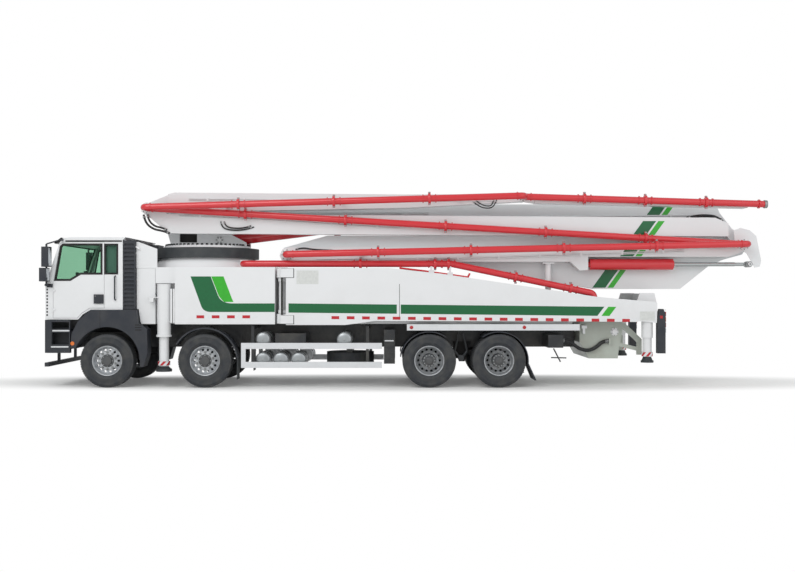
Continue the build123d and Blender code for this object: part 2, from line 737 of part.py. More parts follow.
def hopper_collar():
    """The splash collar round the rear of the mouth: two sides and a back."""
    low = hopper_top + seat_gap
    outline = [(4640, low), (4700, collar_top), (collar_back[1], collar_top), (5040, low)]
    side = side_plate(outline, hopper_half - hopper_wall, hopper_half)
    inner = hopper_half - hopper_wall - seat_gap
    back = block(collar_back, (-inner, inner), (low, collar_top - 10))
    return both(side) + [back]


def hopper_stays():
    """Open frames behind the sump, which carry the mixer's bearings."""
    outline = [(4260, 1283), (4400, 1283), (4740, 960), (4740, 640), (4640, 640), (4640, 720), (4240, 820)]
    gap = [(4345, 1180), (4640, 900), (4640, 800), (4300, 885)]
    near, far = hopper_half - 60, hopper_half
    frame = side_plate(outline, near, far) - side_plate(gap, near - 1, far + 1)
    return both(frame - side_plate(grown(hopper_outline, seat_gap), near - 1, far + 1))


def hopper_grate():
    """The bars over the hopper's mouth."""
    low = hopper_top + seat_gap
    bars = []
    for i in range(9):
        y = -720 + 180 * i
        bars.append(block((3565, collar_back[0] - seat_gap), (y - 6, y + 6), (low, low + 35)))
    return bars


def pump_cylinders():
    """The twin pumping cylinders and their water box, between the frame and the hopper."""
    pieces = [block((2200, 2350), (-300, 300), (1000, deck_low))]
    for y in (-150, 150):
        pieces.append(rod((2350 + seat_gap, y, 1148), (3500 - seat_gap, y, 1148), 125))
    return pieces


deck_pipe_y = 925          # between the hopper's side and the rear beam
deck_pipe_end = 3750


def deck_pipe():
    """The delivery line from the pump along the left beam to the turret."""
    y = -deck_pipe_y
    route = [(pipe_in_x, -760 - seat_gap, pipe_z), (pipe_in_x, y, pipe_z), (850, y, pipe_z),
             (deck_pipe_end, y, 1890), (deck_pipe_end, y, 1500)]
    return tube_along(route, pipe_r, 110)


hose_y = -900
hose_r = 38
# x and z of the hose's points, from the frame's box to the hopper
hose_route = [(hose_x[0] + seat_gap, 940), (3210, 940), (3340, 850), (3480, 750), (3660, 725), (3810, 800),
              (3930, 920), (hose_x[1] - seat_gap, 920)]


def hose_radii(points):
    """The largest arc that each corner's two runs leave room for."""
    radii = []
    for before, at, after in zip(points, points[1:], points[2:]):
        first = Vector(*at) - Vector(*before)
        second = Vector(*after) - Vector(*at)
        turn = radians(first.get_angle(second))
        radii.append(0.45 * min(first.length, second.length) / tan(turn / 2))
    return radii


def return_hose():
    """The black hose slung between the frame's box and the hopper."""
    points = [(x, hose_y, z) for x, z in hose_route]
    radii = hose_radii(points)
    print("return hose arc radii, mm:", [round(radius) for radius in radii])
    return tube_along(points, hose_r, radii)


# ---- turret, lift cylinder and boom ------------------------------------------
turret_wall = (262, 330)   # both cheeks, either side of section 1
turret_foot = 2880         # where the cheeks stand on the base
riser_x = -4830            # the line up the turret, on the right
riser_y = 650
line_1_y = 440             # the line along section 1, on the right
swivel_1 = 545             # where those two meet on the root pin's axis


def turret():
    """The slewing column with the root pin, the cylinder's base pin and the riser."""
    base = upright(slew_x, 0, (ring_top + 10, turret_foot + 5), 900)
    stub = upright(slew_x, 0, (ring_top - 19.7, ring_top + 11), 700)
    outline = [(-4990, turret_foot), (-5070, 3170), (-5250, 3420), (-5250, 3640), (-5180, 3790),
               (-4900, 3800), (-4500, 3300), (-3800, 3160), (-3420, 2960), (-3420, turret_foot)]
    shape = base + stub
    window = [(-4815, 2960), (-4815, 3175), (-4450, 3175), (-4450, 2960)]
    cheek = side_plate(outline, *turret_wall) - side_plate(window, turret_wall[0] - 10, turret_wall[1] + 10)
    shape = shape + cheek + flip(cheek)
    shape = shape + pin(root_pin, -turret_wall[1] - 20, turret_wall[1] + 20, root_pin_r)
    shape = shape + pin(cyl_base, -turret_wall[1] - 10, turret_wall[1] + 10, cyl_base_r)
    x, z = root_pin
    riser = tube_along([(riser_x, riser_y, turret_foot), (riser_x, riser_y, 3200), (x, riser_y, z),
                        (x, swivel_1 + seat_gap, z)], pipe_r, (160, 95))
    return shape + riser


def between(start, end, near, far):
    """How far along the line from start to end two distances lie, as points."""
    length = hypot(end[0] - start[0], end[1] - start[1])
    ux, uz = (end[0] - start[0]) / length, (end[1] - start[1]) / length
    return (start[0] + ux * near, start[1] + uz * near), (start[0] + ux * far, start[1] + uz * far)


barrel_r = 130
ram_r = 75
barrel_len = 2250


def lift_barrel():
    """The lift cylinder's barrel, pinned to the turret."""
    a, b = between(cyl_base, cyl_eye, 165, barrel_len)
    shape = rod((a[0], 0, a[1]), (b[0], 0, b[1]), barrel_r)
    a, b = between(cyl_base, cyl_eye, 20, 170)
    shape = shape + rod((a[0], 0, a[1]), (b[0], 0, b[1]), 90)
    shape = shape + pin(cyl_base, -barrel_r, barrel_r, 105)
    c, d = between(cyl_base, cyl_eye, 200, barrel_len + 1)
    shape = shape - rod((c[0], 0, c[1]), (d[0], 0, d[1]), ram_r + running_fit)
    return shape - pin(cyl_base, -barrel_r - 1, barrel_r + 1, cyl_base_r + running_fit)


def lift_rod():
    """The lift cylinder's rod, its eye left open at section 1."""
    length = hypot(cyl_eye[0] - cyl_base[0], cyl_eye[1] - cyl_base[1])
    c, d = between(cyl_base, cyl_eye, 240, length - 60)
    shape = rod((c[0], 0, c[1]), (d[0], 0, d[1]), ram_r)
    shape = shape + pin(cyl_eye, -80, 80, 115)
    return shape - pin(cyl_eye, -81, 81, 62)


def boom_1():
    """Section 1: the main beam with its slot for the lift cylinder."""
    outline = [(-5200, 3480), (-5230, 3640), (-5120, 3776), (6461, 3760), (6530, 3590), (6700, 3370),
               (6930, 3080), (7000, 2900), (6860, 2705), (6740, 2705), (6420, 3000), (6050, 3158),
               (-4300, 3300), (-4900, 3420)]
    shape = side_plate(outline, *lane_1)
    slot = [(-4400, 3200), (-3300, 3530), (-900, 3530), (-900, 3000), (-4400, 3000)]
    shape = shape - side_plate(slot, -165, 165)
    shape = shape - pin(root_pin, -300, 300, root_pin_r + running_fit)
    shape = shape + pin(knee_1, lane_1[0] - 12, lane_2[1] + 5, knee_1_r)
    for lat in (-lane_1[1] - 10, lane_1[1]):
        shape = shape + pin(cyl_eye, lat, lat + 10, 90)
    return shape


def boom_2():
    """Section 2, beside section 1, with the pin of knee 2."""
    outline = [(-2694, 2680), (-2600, 2840), (-1700, 3092), (6600, 3092), (6950, 3020), (7000, 2860),
               (6900, 2700), (6500, 2590), (6190, 2450), (5610, 1985), (3850, 1985), (3577, 2035),
               (1069, 2486), (-1648, 2640), (-2450, 2500), (-2640, 2560)]
    shape = side_plate(outline, *lane_2)
    shape = shape - pin(knee_1, lane_2[0] - 5, lane_2[1] + 6, knee_1_r + running_fit)
    return shape + pin(knee_2, lane_2[0], lane_3[1] + 12, knee_2_r)


def fork(outline, at, lane, radius):
    """Two cheeks at the sides of a lane, rounded about a pin."""
    shape = None
    for near, far in ((lane[0], lane[0] + cheek_t), (lane[1] - cheek_t, lane[1])):
        cheek = side_plate(outline, near, far) + pin(at, near, far, radius)
        shape = cheek if shape is None else shape + cheek
    return shape


def tongue(outline, at, lane, radius, bore):
    """The middle plate of a knuckle, bored for its pin."""
    near, far = lane[0] + cheek_t + move_gap, lane[1] - cheek_t - move_gap
    shape = side_plate(outline, near, far) + pin(at, near, far, radius)
    return shape, pin(at, near - 1, far + 1, bore)


def boom_3():
    """Section 3 with its cylinder bracket, crank plate and the pin of knee 3."""
    outline = [(-2654, 2680), (-2600, 2800), (-2450, 2838), (6500, 2838), (6500, 2640), (3650, 2640),
               (3650, 2370), (3480, 2360), (3290, section_3_low), (-2400, section_3_low), (-2600, 2580)]
    shape = side_plate(outline, *lane_3)
    shape = shape - pin(knee_2, lane_3[0] - 1, lane_3[1] + 1, knee_2_r + running_fit)
    cheek = [(6499, 2640), (6499, 2838), (6700, 2990), (6830, 3020), (6960, 2890), (6830, 2760),
             (6700, 2700)]
    shape = shape + fork(cheek, knee_3, lane_3, 130)
    shape = shape + pin(knee_3, lane_3[0], lane_3[1] + 5, knee_3_r)
    plate = [(6619, 3180), (6760, 3230), (6950, 3180), (7080, 3060), (7180, 2560), (7150, 2440),
             (7050, 2420),
             (6890, 2700), (6640, 2900)]
    shape = shape + side_plate(plate, lane_3[1] + 2, lane_3[1] + 20)
    return shape + pin(knee_3, lane_3[1] - 1, lane_3[1] + 20, 110)


def knuckle_cylinder():
    """The cylinder under section 3, drawn at its stowed length."""
    lat = (lane_3[0] + lane_3[1]) / 2
    z = 2490
    shape = rod((3700, -lat, z), (5410, -lat, z), 115)
    shape = shape + rod((5409, -lat, z), (6900, -lat, z), 36)
    shape = shape + rod((3650.3, -lat, z), (3701, -lat, z), 60)
    eye = pin((6950, z), lat - 60, lane_3[1] + 1.7, 62)
    return shape + eye


def boom_4():
    """Section 4: fork at knee 4, tongue at knee 3."""
    body = [(-4950, 3130), (-4950, 3518), (6250, 3440), (6520, 3320), (6520, 3060), (-4700, 3116)]
    shape = side_plate(body, *lane_3)
    cheek = [(-4949, 3135), (-5260, 3400), (-5490, 3570), (-5373, 3750), (-5260, 3720), (-4949, 3517)]
    shape = shape + fork(cheek, knee_4, lane_3, 120)
    shape = shape + pin(knee_4, lane_3[0], lane_3[1] + 12, knee_4_r)
    outline = [(6519, 3061), (6519, 3310), (6940, 2950), (6900, 2790), (6760, 2790)]
    plate, bore = tongue(outline, knee_3, lane_3, 125, knee_3_r + running_fit)
    return (shape + plate) - bore


def boom_5():
    """Section 5: tongue at knee 4, fork at knee 5."""
    body = [(-4940, 3549), (-4940, 3920), (-4800, 3954), (-100, 3915), (2080, 3925), (2080, 3760),
            (-100, 3640)]
    shape = side_plate(body, *lane_3)
    outline = [(-4939, 3550), (-4939, 3920), (-5373, 3745), (-5480, 3640), (-5373, 3515)]
    plate, bore = tongue(outline, knee_4, lane_3, 110, knee_4_r + running_fit)
    shape = (shape + plate) - bore
    cheek = [(2079, 3761), (2079, 3924), (2315, 3950), (2315, 3775)]
    shape = shape + fork(cheek, knee_5, lane_3, 90)
    return shape + pin(knee_5, lane_3[0], lane_3[1] + 12, knee_5_r)


def boom_6():
    """Section 6, the tip section."""
    body = [(2560, 3740), (2560, 3900), (6900, 3740), (6960, 3690), (6900, 3640)]
    shape = side_plate(body, *lane_3)
    outline = [(2561, 3741), (2561, 3899), (2315, 3940), (2240, 3860), (2315, 3780)]
    plate, bore = tongue(outline, knee_5, lane_3, 82, knee_5_r + running_fit)
    return (shape + plate) - bore


swivel_mid = (pipe_inner + pipe_outer) / 2
elbow_r = 95
tip_free = 150             # plain pipe past the last collar, where the end hose clamps on


def clamps(start, end, lat, count):
    """Pairs of pipe clamps spread along a straight run."""
    length = hypot(end[0] - start[0], end[1] - start[1])
    shape = None
    for i in range(count):
        mid = length * (i + 1) / (count + 1)
        a, b = between(start, end, mid - 25, mid + 25)
        ring = rod((a[0], -lat, a[1]), (b[0], -lat, b[1]), clamp_r)
        shape = ring if shape is None else shape + ring
    return shape


def carriers(start, end, lat, count, face):
    """Brackets from a section's side out to its line."""
    length = hypot(end[0] - start[0], end[1] - start[1])
    shape = None
    for i in range(count):
        mid = 0.92 * length * (i + 0.7) / count
        a, b = between(start, end, mid - 20, mid + 20)
        bar = side_plate([(a[0], a[1] - 40), (b[0], b[1] - 40), (b[0], b[1] + 40), (a[0], a[1] + 40)],
                         face + seat_gap, lat - pipe_r + 20)
        shape = bar if shape is None else shape + bar
    return shape


def section_pipe(start, end, lat, first, last, count):
    """A line beside a section; first and last are where its ends reach along the pin axes."""
    points = [(start[0], -lat, start[1]), (end[0], -lat, end[1])]
    if first is not None:
        points.insert(0, (start[0], -first, start[1]))
    if last is not None:
        points.append((end[0], -last, end[1]))
    line = tube_along(points, pipe_r, elbow_r)
    if last is None:
        length = hypot(end[0] - start[0], end[1] - start[1])
        a, b = between(start, end, length - tip_free - 25, length - tip_free)
        line = line + rod((a[0], -lat, a[1]), (b[0], -lat, b[1]), clamp_r)
    return line + clamps(start, end, lat, count) + carriers(start, end, lat, count, lane_3[1])


def pipe_1():
    """The line on the right of section 1, from the root pin's axis to knee 1's."""
    start = (root_pin[0], line_1_y, root_pin[1])
    bend = (6200, line_1_y, 3480)
    end = (knee_1[0], line_1_y, knee_1[1])
    points = [(start[0], swivel_1, start[2]), start, bend, end,
              (end[0], -lane_1[0] + 12 + seat_gap, end[2])]
    line = tube_along(points, pipe_r, (95, 300, 95))
    slope = (bend[2] - start[2]) / (bend[0] - start[0])
    for x in (-3000, -500, 2000, 4500):
        z = start[2] + slope * (x - start[0])
        line = line + rod((x - 25, line_1_y, z), (x + 25, line_1_y, z), clamp_r)
        line = line + block((x - 20, x + 20), (-lane_1[0] + seat_gap, line_1_y - 40), (z - 40, z + 40))
    return line


def pipe_2():
    """The line on top of section 2, its ends dipping into the section."""
    y = -(lane_2[0] + lane_2[1]) / 2
    z = 3092 + 110
    points = [(-1500, y, 3092.3), (-1500, y, z), (6400, y, z), (6400, y, 3092.3)]
    line = tube_along(points, pipe_r, 100)
    for x in (500, 2500, 4500):
        line = line + rod((x - 25, y, z), (x + 25, y, z), clamp_r)
        line = line + block((x - 20, x + 20), (y - 40, y + 40), (3092.3, z - 40))
    return line


# ---- write every node ---------------------------------------------------------
save("chassis_frame", chassis_frame())
save("engine", block((-6750, -5650), (-engine_half, engine_half), (740, 1290)))
save("cab_shell", cab_shell())
save("cab_glass", cab_glass())
save("cab_interior", cab_interior())
save("front_bumper", front_bumper())
save("mudguards", mudguards(), both(fender()))
save("mirrors", mirrors())
save("intake_stacks", intake_stacks())
beams = [front_beam(axle_x["1"]), front_beam(axle_x["2"])]
save("axles", beams, rear_axle(axle_x["3"]), rear_axle(axle_x["4"]), bogie())
save("pedestal", pedestal())
save("ring_guard", ring_guard())
save("side_cabinets", side_cabinets())
save("deck", deck())
save("side_guards", side_guards())
save("spare_wheel", upright(spare_x, 0, spare_z, 500))
save("hopper", hopper(), hopper_collar(), hopper_stays(), pump_cylinders())
save("hopper_grate", hopper_grate())
save("deck_pipe", deck_pipe())
save("return_hose", return_hose())

for side in ("left", "right"):
    turn = flip if side == "right" else (lambda shape: shape)
    save(f"door_{side}", turn(door()))
    save(f"door_glass_{side}", turn(door_glass()))
    for name, x in axle_x.items():
        save(f"wheel_{name}_{side}", turn(wheel(x, name in "34")))
        if name in "12":
            save(f"knuckle_{name}_{side}", turn(knuckle(x)))
    save(f"front_arm_{side}", turn(front_arm(arm_low[side])))
    save(f"front_jack_{side}", turn(front_jack()))
    save(f"rear_arm_{side}", turn(rear_arm()))
    save(f"rear_jack_{side}", turn(rear_jack()))

save("turret", turret())
save("lift_barrel", lift_barrel())
save("lift_rod", lift_rod())
for number, section in enumerate((boom_1, boom_2, boom_3, boom_4, boom_5, boom_6), 1):
    save(f"boom_{number}", section())
save("knuckle_cylinder", knuckle_cylinder())
save("pipe_1", pipe_1())
save("pipe_2", pipe_2())
outer_end = swivel_mid + seat_gap / 2
inner_end = swivel_mid - seat_gap / 2
pin_end = lane_3[1] + 12 + seat_gap
save("pipe_3", section_pipe(knee_2, knee_3, pipe_outer, pin_end, outer_end, 4))
save("pipe_4", section_pipe(knee_3, knee_4, pipe_inner, inner_end, inner_end, 5))
save("pipe_5", section_pipe(knee_4, knee_5, pipe_outer, outer_end, outer_end, 3))
save("pipe_6", section_pipe(knee_5, (tip_x, tip_z), pipe_inner, inner_end, None, 3))
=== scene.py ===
import json
from math import cos, pi, radians, sin
import bmesh
import bpy
from mathutils import Matrix, Vector


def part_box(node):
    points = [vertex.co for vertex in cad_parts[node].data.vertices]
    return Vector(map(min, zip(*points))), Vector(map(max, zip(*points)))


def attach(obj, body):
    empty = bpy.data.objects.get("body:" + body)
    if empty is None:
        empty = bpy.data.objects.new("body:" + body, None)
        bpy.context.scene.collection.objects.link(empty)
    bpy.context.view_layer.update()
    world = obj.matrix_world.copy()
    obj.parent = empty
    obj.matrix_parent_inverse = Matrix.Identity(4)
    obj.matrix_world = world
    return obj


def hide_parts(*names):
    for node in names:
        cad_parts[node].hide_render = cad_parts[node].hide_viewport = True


# Truck-mounted concrete pump, stowed for the road.
# Metres, +X to the rear, -Y to the vehicle's left, +Z up, ground at Z = 0.

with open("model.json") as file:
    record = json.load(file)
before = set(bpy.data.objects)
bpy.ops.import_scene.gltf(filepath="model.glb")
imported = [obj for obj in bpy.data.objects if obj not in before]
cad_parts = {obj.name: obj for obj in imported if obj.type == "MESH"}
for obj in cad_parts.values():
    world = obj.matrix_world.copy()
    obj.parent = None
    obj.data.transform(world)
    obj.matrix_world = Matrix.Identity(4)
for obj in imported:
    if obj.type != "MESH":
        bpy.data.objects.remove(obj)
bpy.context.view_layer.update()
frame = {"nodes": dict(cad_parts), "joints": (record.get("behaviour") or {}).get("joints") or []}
nodes = frame["nodes"]
joints = {joint["name"]: joint for joint in frame["joints"]}
sides = (("left", -1), ("right", 1))
print("frame loaded", len(nodes), "nodes")


# ---- camera, light and floor ----
cameraSetup = {"distance": 20.25, "height": 1.88, "sideways": -0.248, "lens": 43.02, "shiftUp": 8 / 795}


def addObject(name, data):
    made = bpy.data.objects.new(name, data)
    bpy.context.scene.collection.objects.link(made)
    return made


def makeCamera(setup):
    data = bpy.data.cameras.new("camera")
    data.lens = setup["lens"]
    data.shift_y = setup["shiftUp"]
    data.clip_end = 200
    camera = addObject("camera", data)
    camera.location = (setup["sideways"], -setup["distance"], setup["height"])
    camera.rotation_euler = (pi / 2, 0, 0)
    bpy.context.scene.camera = camera


def addNode(tree, kind, settings=None, links=None):
    node = tree.nodes.new("ShaderNode" + kind)
    for key, value in (settings or {}).items():
        if isinstance(key, int) or key in node.inputs:
            node.inputs[key].default_value = value
        else:
            setattr(node, key, value)
    for key, source in (links or {}).items():
        # a node stands for its first output
        tree.links.new(getattr(source, "outputs", [source])[0], node.inputs[key])
    return node


def fromHex(text, alpha=1.0):
    channels = [int(text[i:i + 2], 16) / 255 for i in (0, 2, 4)]
    linear = [c / 12.92 if c <= 0.04045 else ((c + 0.055) / 1.055) ** 2.4 for c in channels]
    return (*linear, alpha)


def seenByEye(tree):
    # 1 for a ray that comes from the camera, straight or through glass
    path = addNode(tree, "LightPath")
    return addNode(tree, "Math", {"operation": "MAXIMUM"},
                   {0: path.outputs["Is Camera Ray"], 1: path.outputs["Is Transmission Ray"]})


def newMaterial(name):
    # an empty material, and the place on the object that its textures lie by
    material = bpy.data.materials.new(name)
    material.use_nodes = True
    tree = material.node_tree
    tree.nodes.clear()
    return material, tree, addNode(tree, "TexCoord").outputs["Object"]


def finishMaterial(material, shader):
    addNode(material.node_tree, "OutputMaterial", {}, {"Surface": shader})
    return material


def span(fromMin, fromMax, toMin, toMax):
    # settings that carry one range over to another
    return {"From Min": fromMin, "From Max": fromMax, "To Min": toMin, "To Max": toMax}


studio = {
    "sky": "f4f6f8",           # plain soft light from all round
    "skyStrength": 0.63,
    "floor": "f2f2f0",
    "keyPower": 1680, "keySize": 14, "keyPlace": (-9, -17, 15),
    "fillPower": 520, "fillSize": 16, "fillPlace": (13, -14, 9),
}


def makeStudio(setup):
    world = bpy.data.worlds.new("studio")
    bpy.context.scene.world = world
    world.use_nodes = True
    tree = world.node_tree
    tree.nodes.clear()
    seen = seenByEye(tree)
    light = addNode(tree, "Background", {"Color": fromHex(setup["sky"]), "Strength": setup["skyStrength"]})
    white = addNode(tree, "Background", {"Color": (1, 1, 1, 1), "Strength": 1.0})
    both = addNode(tree, "MixShader", {}, {0: seen, 1: light, 2: white})
    addNode(tree, "OutputWorld", {}, {"Surface": both})
    for name in ("key", "fill"):
        lamp = bpy.data.lights.new(name, "AREA")
        lamp.energy = setup[name + "Power"]
        lamp.size = setup[name + "Size"]
        place = addObject(name, lamp)
        place.location = setup[name + "Place"]
        aim = Vector((0, 0, 1.8)) - place.location
        place.rotation_euler = aim.to_track_quat("-Z", "Y").to_euler()
    bpy.context.scene.view_settings.view_transform = "Standard"


def makeFloor(setup):
    mesh = bpy.data.meshes.new("floor")
    size = 120
    mesh.from_pydata([(-size, -size, 0), (size, -size, 0), (size, size, 0), (-size, size, 0)], [],
                     [(0, 1, 2, 3)])
    floor = addObject("floor", mesh)
    material, tree, place = newMaterial("paleFloor")
    # the floor is white to the eye and keeps the shadow: its own light is added only where it is lit
    surface = addNode(tree, "BsdfDiffuse", {"Color": fromHex(setup["floor"])})
    seen = seenByEye(tree)
    glow = addNode(tree, "Emission", {"Color": (1, 1, 1, 1), "Strength": 0.10})
    lit = addNode(tree, "AddShader", {}, {0: surface, 1: glow})
    # away from the truck it fades to plain white, so that no horizon shows
    squeezed = addNode(tree, "Mapping", {"Scale": (0.20, 1, 1)}, {"Vector": place})
    away = addNode(tree, "VectorMath", {"operation": "LENGTH"}, {0: squeezed})
    fade = addNode(tree, "MapRange",
                   {"interpolation_type": "SMOOTHSTEP", "From Min": 1.45, "From Max": 2.3},
                   {"Value": away.outputs["Value"]})
    blank = addNode(tree, "Emission", {"Color": (1, 1, 1, 1), "Strength": 1.0})
    shown = addNode(tree, "MixShader", {}, {0: fade, 1: lit, 2: blank})
    both = addNode(tree, "MixShader", {}, {0: seen, 1: surface, 2: shown})
    mesh.materials.append(finishMaterial(material, both))


makeCamera(cameraSetup)
makeStudio(studio)
makeFloor(studio)
print("camera, light and floor made")


# ---- materials ----
def sprayedPaint(name, colour, dirt="8d8778", gloss=0.24, dust=0.18, wet=0.6):
    # two-pack polyurethane sprayed over primer: smooth gloss with a faint orange peel, and
    # road dust that lies thicker low down
    material, tree, place = newMaterial(name)
    peel = addNode(tree, "TexNoise", {"Scale": 1 / 0.012, "Detail": 2.0, "Roughness": 0.5},
                   {"Vector": place})  # peel cells of 12 mm, drawn coarse enough to show
    bump = addNode(tree, "Bump", {"Strength": 0.04, "Distance": 0.001}, {"Height": peel})
    blotch = addNode(tree, "TexNoise", {"Scale": 1 / 0.55, "Detail": 5.0, "Roughness": 0.6},
                     {"Vector": place})  # dust drifts half a metre across
    split = addNode(tree, "SeparateXYZ", {}, {0: place})
    low = addNode(tree, "MapRange", span(0.3, 2.2, 1.0, 0.15), {"Value": split.outputs[2]})
    spread = addNode(tree, "MapRange", span(0.42, 0.75, 0.0, dust), {"Value": blotch})
    amount = addNode(tree, "Math", {"operation": "MULTIPLY"}, {0: spread, 1: low})
    tint = addNode(tree, "Mix", {"data_type": "RGBA", 6: fromHex(colour), 7: fromHex(dirt)}, {0: amount})
    rough = addNode(tree, "MapRange", span(0.0, 1.0, gloss, gloss + 0.45), {"Value": amount})
    shader = addNode(tree, "BsdfPrincipled", {"IOR": 1.5, "Coat Weight": wet, "Coat Roughness": 0.08},
                     {"Base Color": tint.outputs[2], "Roughness": rough, "Normal": bump})
    return finishMaterial(material, shader)


def mouldedPlastic(name, colour, grain=0.004, rough=0.5):
    # injection-moulded ABS with a fine leather grain, faded a little where sun and grit reach it
    material, tree, place = newMaterial(name)
    pits = addNode(tree, "TexVoronoi", {"Scale": 1 / grain}, {"Vector": place})
    bump = addNode(tree, "Bump", {"Strength": 0.12, "Distance": 0.0006}, {"Height": pits})
    fade = addNode(tree, "TexNoise", {"Scale": 1 / 0.3, "Detail": 4.0}, {"Vector": place})
    pale = addNode(tree, "MapRange", span(0.35, 0.8, 0.0, 0.16), {"Value": fade})
    tint = addNode(tree, "Mix", {"data_type": "RGBA", 6: fromHex(colour), 7: fromHex("77736b")}, {0: pale})
    shader = addNode(tree, "BsdfPrincipled", {"IOR": 1.46, "Roughness": rough},
                     {"Base Color": tint.outputs[2], "Normal": bump})
    return finishMaterial(material, shader)


def vulcanisedRubber(name, colour="16171a", bloom="3b3a37", rough=0.62, cell=0.02):
    # carbon-black rubber cured in a mould: matt, with a pale bloom of dust in patches
    material, tree, place = newMaterial(name)
    grain = addNode(tree, "TexNoise", {"Scale": 1 / cell, "Detail": 6.0, "Roughness": 0.65},
                    {"Vector": place})
    bump = addNode(tree, "Bump", {"Strength": 0.15, "Distance": 0.001}, {"Height": grain})
    patch = addNode(tree, "TexNoise", {"Scale": 1 / 0.22, "Detail": 4.0}, {"Vector": place})
    worn = addNode(tree, "MapRange", span(0.4, 0.7, 0.0, 0.55), {"Value": patch})
    tint = addNode(tree, "Mix", {"data_type": "RGBA", 6: fromHex(colour), 7: fromHex(bloom)}, {0: worn})
    shader = addNode(tree, "BsdfPrincipled", {"IOR": 1.52, "Roughness": rough},
                     {"Base Color": tint.outputs[2], "Normal": bump})
    return finishMaterial(material, shader)


def metalFinish(name, colour, rough=0.3, scratch=0.03, stretch=(1, 1, 18), metallic=1.0, stain="4a4440",
                spots=0.12):
    # machined or rolled metal: fine lines along one way, and a little grey oxide
    material, tree, place = newMaterial(name)
    turned = addNode(tree, "Mapping", {"Scale": stretch}, {"Vector": place})
    lines = addNode(tree, "TexNoise", {"Scale": 1 / scratch, "Detail": 3.0}, {"Vector": turned})
    bump = addNode(tree, "Bump", {"Strength": 0.06, "Distance": 0.0005}, {"Height": lines})
    oxide = addNode(tree, "TexNoise", {"Scale": 1 / 0.12, "Detail": 6.0}, {"Vector": place})
    amount = addNode(tree, "MapRange", span(0.48, 0.8, 0.0, spots * 3), {"Value": oxide})
    tint = addNode(tree, "Mix", {"data_type": "RGBA", 6: fromHex(colour), 7: fromHex(stain)}, {0: amount})
    dull = addNode(tree, "MapRange", span(0.3, 0.8, rough, rough + 0.18), {"Value": lines})
    shader = addNode(tree, "BsdfPrincipled", {"Metallic": metallic},
                     {"Base Color": tint.outputs[2], "Roughness": dull, "Normal": bump})
    return finishMaterial(material, shader)


def clearPane(name, colour, strength=0.72, rough=0.02, slant=0.9):
    # laminated safety glass with a green tint: it lets light through and mirrors the sky at a slant
    material, tree, place = newMaterial(name)
    film = addNode(tree, "TexNoise", {"Scale": 1 / 0.25, "Detail": 3.0}, {"Vector": place})
    dull = addNode(tree, "MapRange", span(0.4, 0.8, rough, rough + 0.06), {"Value": film})
    tinted = addNode(tree, "BsdfTransparent", {"Color": fromHex(colour)})
    glossy = addNode(tree, "BsdfPrincipled", {"Base Color": fromHex("101513"), "IOR": 1.52,
                                                        "Specular IOR Level": 0.8}, {"Roughness": dull})
    facing = addNode(tree, "LayerWeight", {"Blend": 0.25})
    share = addNode(tree, "MapRange", span(0.0, 1.0, 1 - strength, slant),
                    {"Value": facing.outputs["Fresnel"]})
    shader = addNode(tree, "MixShader", {}, {0: share, 1: tinted, 2: glossy})
    return finishMaterial(material, shader)


def vinylFilm(name, colour, rough=0.32, cell=0.05):
    # cast vinyl film laid on the paint: even colour, a soft sheen, faint ripples
    material, tree, place = newMaterial(name)
    ripple = addNode(tree, "TexNoise", {"Scale": 1 / cell, "Detail": 2.0}, {"Vector": place})
    bump = addNode(tree, "Bump", {"Strength": 0.03, "Distance": 0.001}, {"Height": ripple})
    shade = addNode(tree, "MapRange", span(0.3, 0.7, 0.94, 1.05), {"Value": ripple})
    tint = addNode(tree, "Mix", {"data_type": "RGBA", "blend_type": "MULTIPLY", 0: 1.0, 6: fromHex(colour)},
                   {7: shade})
    shader = addNode(tree, "BsdfPrincipled", {"IOR": 1.5, "Roughness": rough, "Coat Weight": 0.2},
                     {"Base Color": tint.outputs[2], "Normal": bump})
    return finishMaterial(material, shader)


def lampLens(name, colour):
    # moulded acrylic lens with small prisms over a lamp
    material, tree, place = newMaterial(name)
    prisms = addNode(tree, "TexChecker", {"Scale": 1 / 0.012}, {"Vector": place})
    bump = addNode(tree, "Bump", {"Strength": 0.25, "Distance": 0.001}, {"Height": prisms.outputs[1]})
    shader = addNode(tree, "BsdfPrincipled",
                     {"Base Color": fromHex(colour), "IOR": 1.49, "Roughness": 0.12, "Coat Weight": 0.8},
                     {"Normal": bump})
    return finishMaterial(material, shader)


whitePaint = sprayedPaint("sprayedWhitePolyurethane", "edeeef")
boomPaint = sprayedPaint("sprayedWhiteBoomPaint", "e6e8e9", dust=0.1)
redPaint = sprayedPaint("sprayedRedPolyurethane", "d92a34", dust=0.12, gloss=0.2)
hopperPaint = sprayedPaint("sprayedGreyGreenEnamel", "b4bab0", dust=0.5, gloss=0.35)
framePaint = sprayedPaint("sprayedBlackChassisEnamel", "26282b", dust=0.35, gloss=0.4, wet=0.2)
blackPlastic = mouldedPlastic("mouldedBlackAbs", "2c3038")
trimPlastic = mouldedPlastic("mouldedGreyCabTrim", "3a3c40", rough=0.6)
tyreRubber = vulcanisedRubber("vulcanisedTyreRubber", "2e3136", "55544f")
hoseRubber = vulcanisedRubber("wrappedHoseRubber", "121316", "2a2a2b", rough=0.42, cell=0.01)
skirtRubber = vulcanisedRubber("mouldedSkirtRubber", "34383b", "4b4e4e", cell=0.03)
rimSteel = metalFinish("silverLacqueredRimSteel", "c2c5c8", rough=0.3, metallic=0.6)
chromeRod = metalFinish("groundChromeRod", "b4b8b8", rough=0.08, scratch=0.01, stretch=(1, 30, 30),
                        spots=0.02)
zincSteel = metalFinish("zincPlatedBoltSteel", "a9abab", rough=0.35)
hubPaint = sprayedPaint("sprayedGreyHubEnamel", "484b4f", gloss=0.4, wet=0.2)
blindCloth = mouldedPlastic("mouldedGreyBlind", "8d9299", rough=0.7)
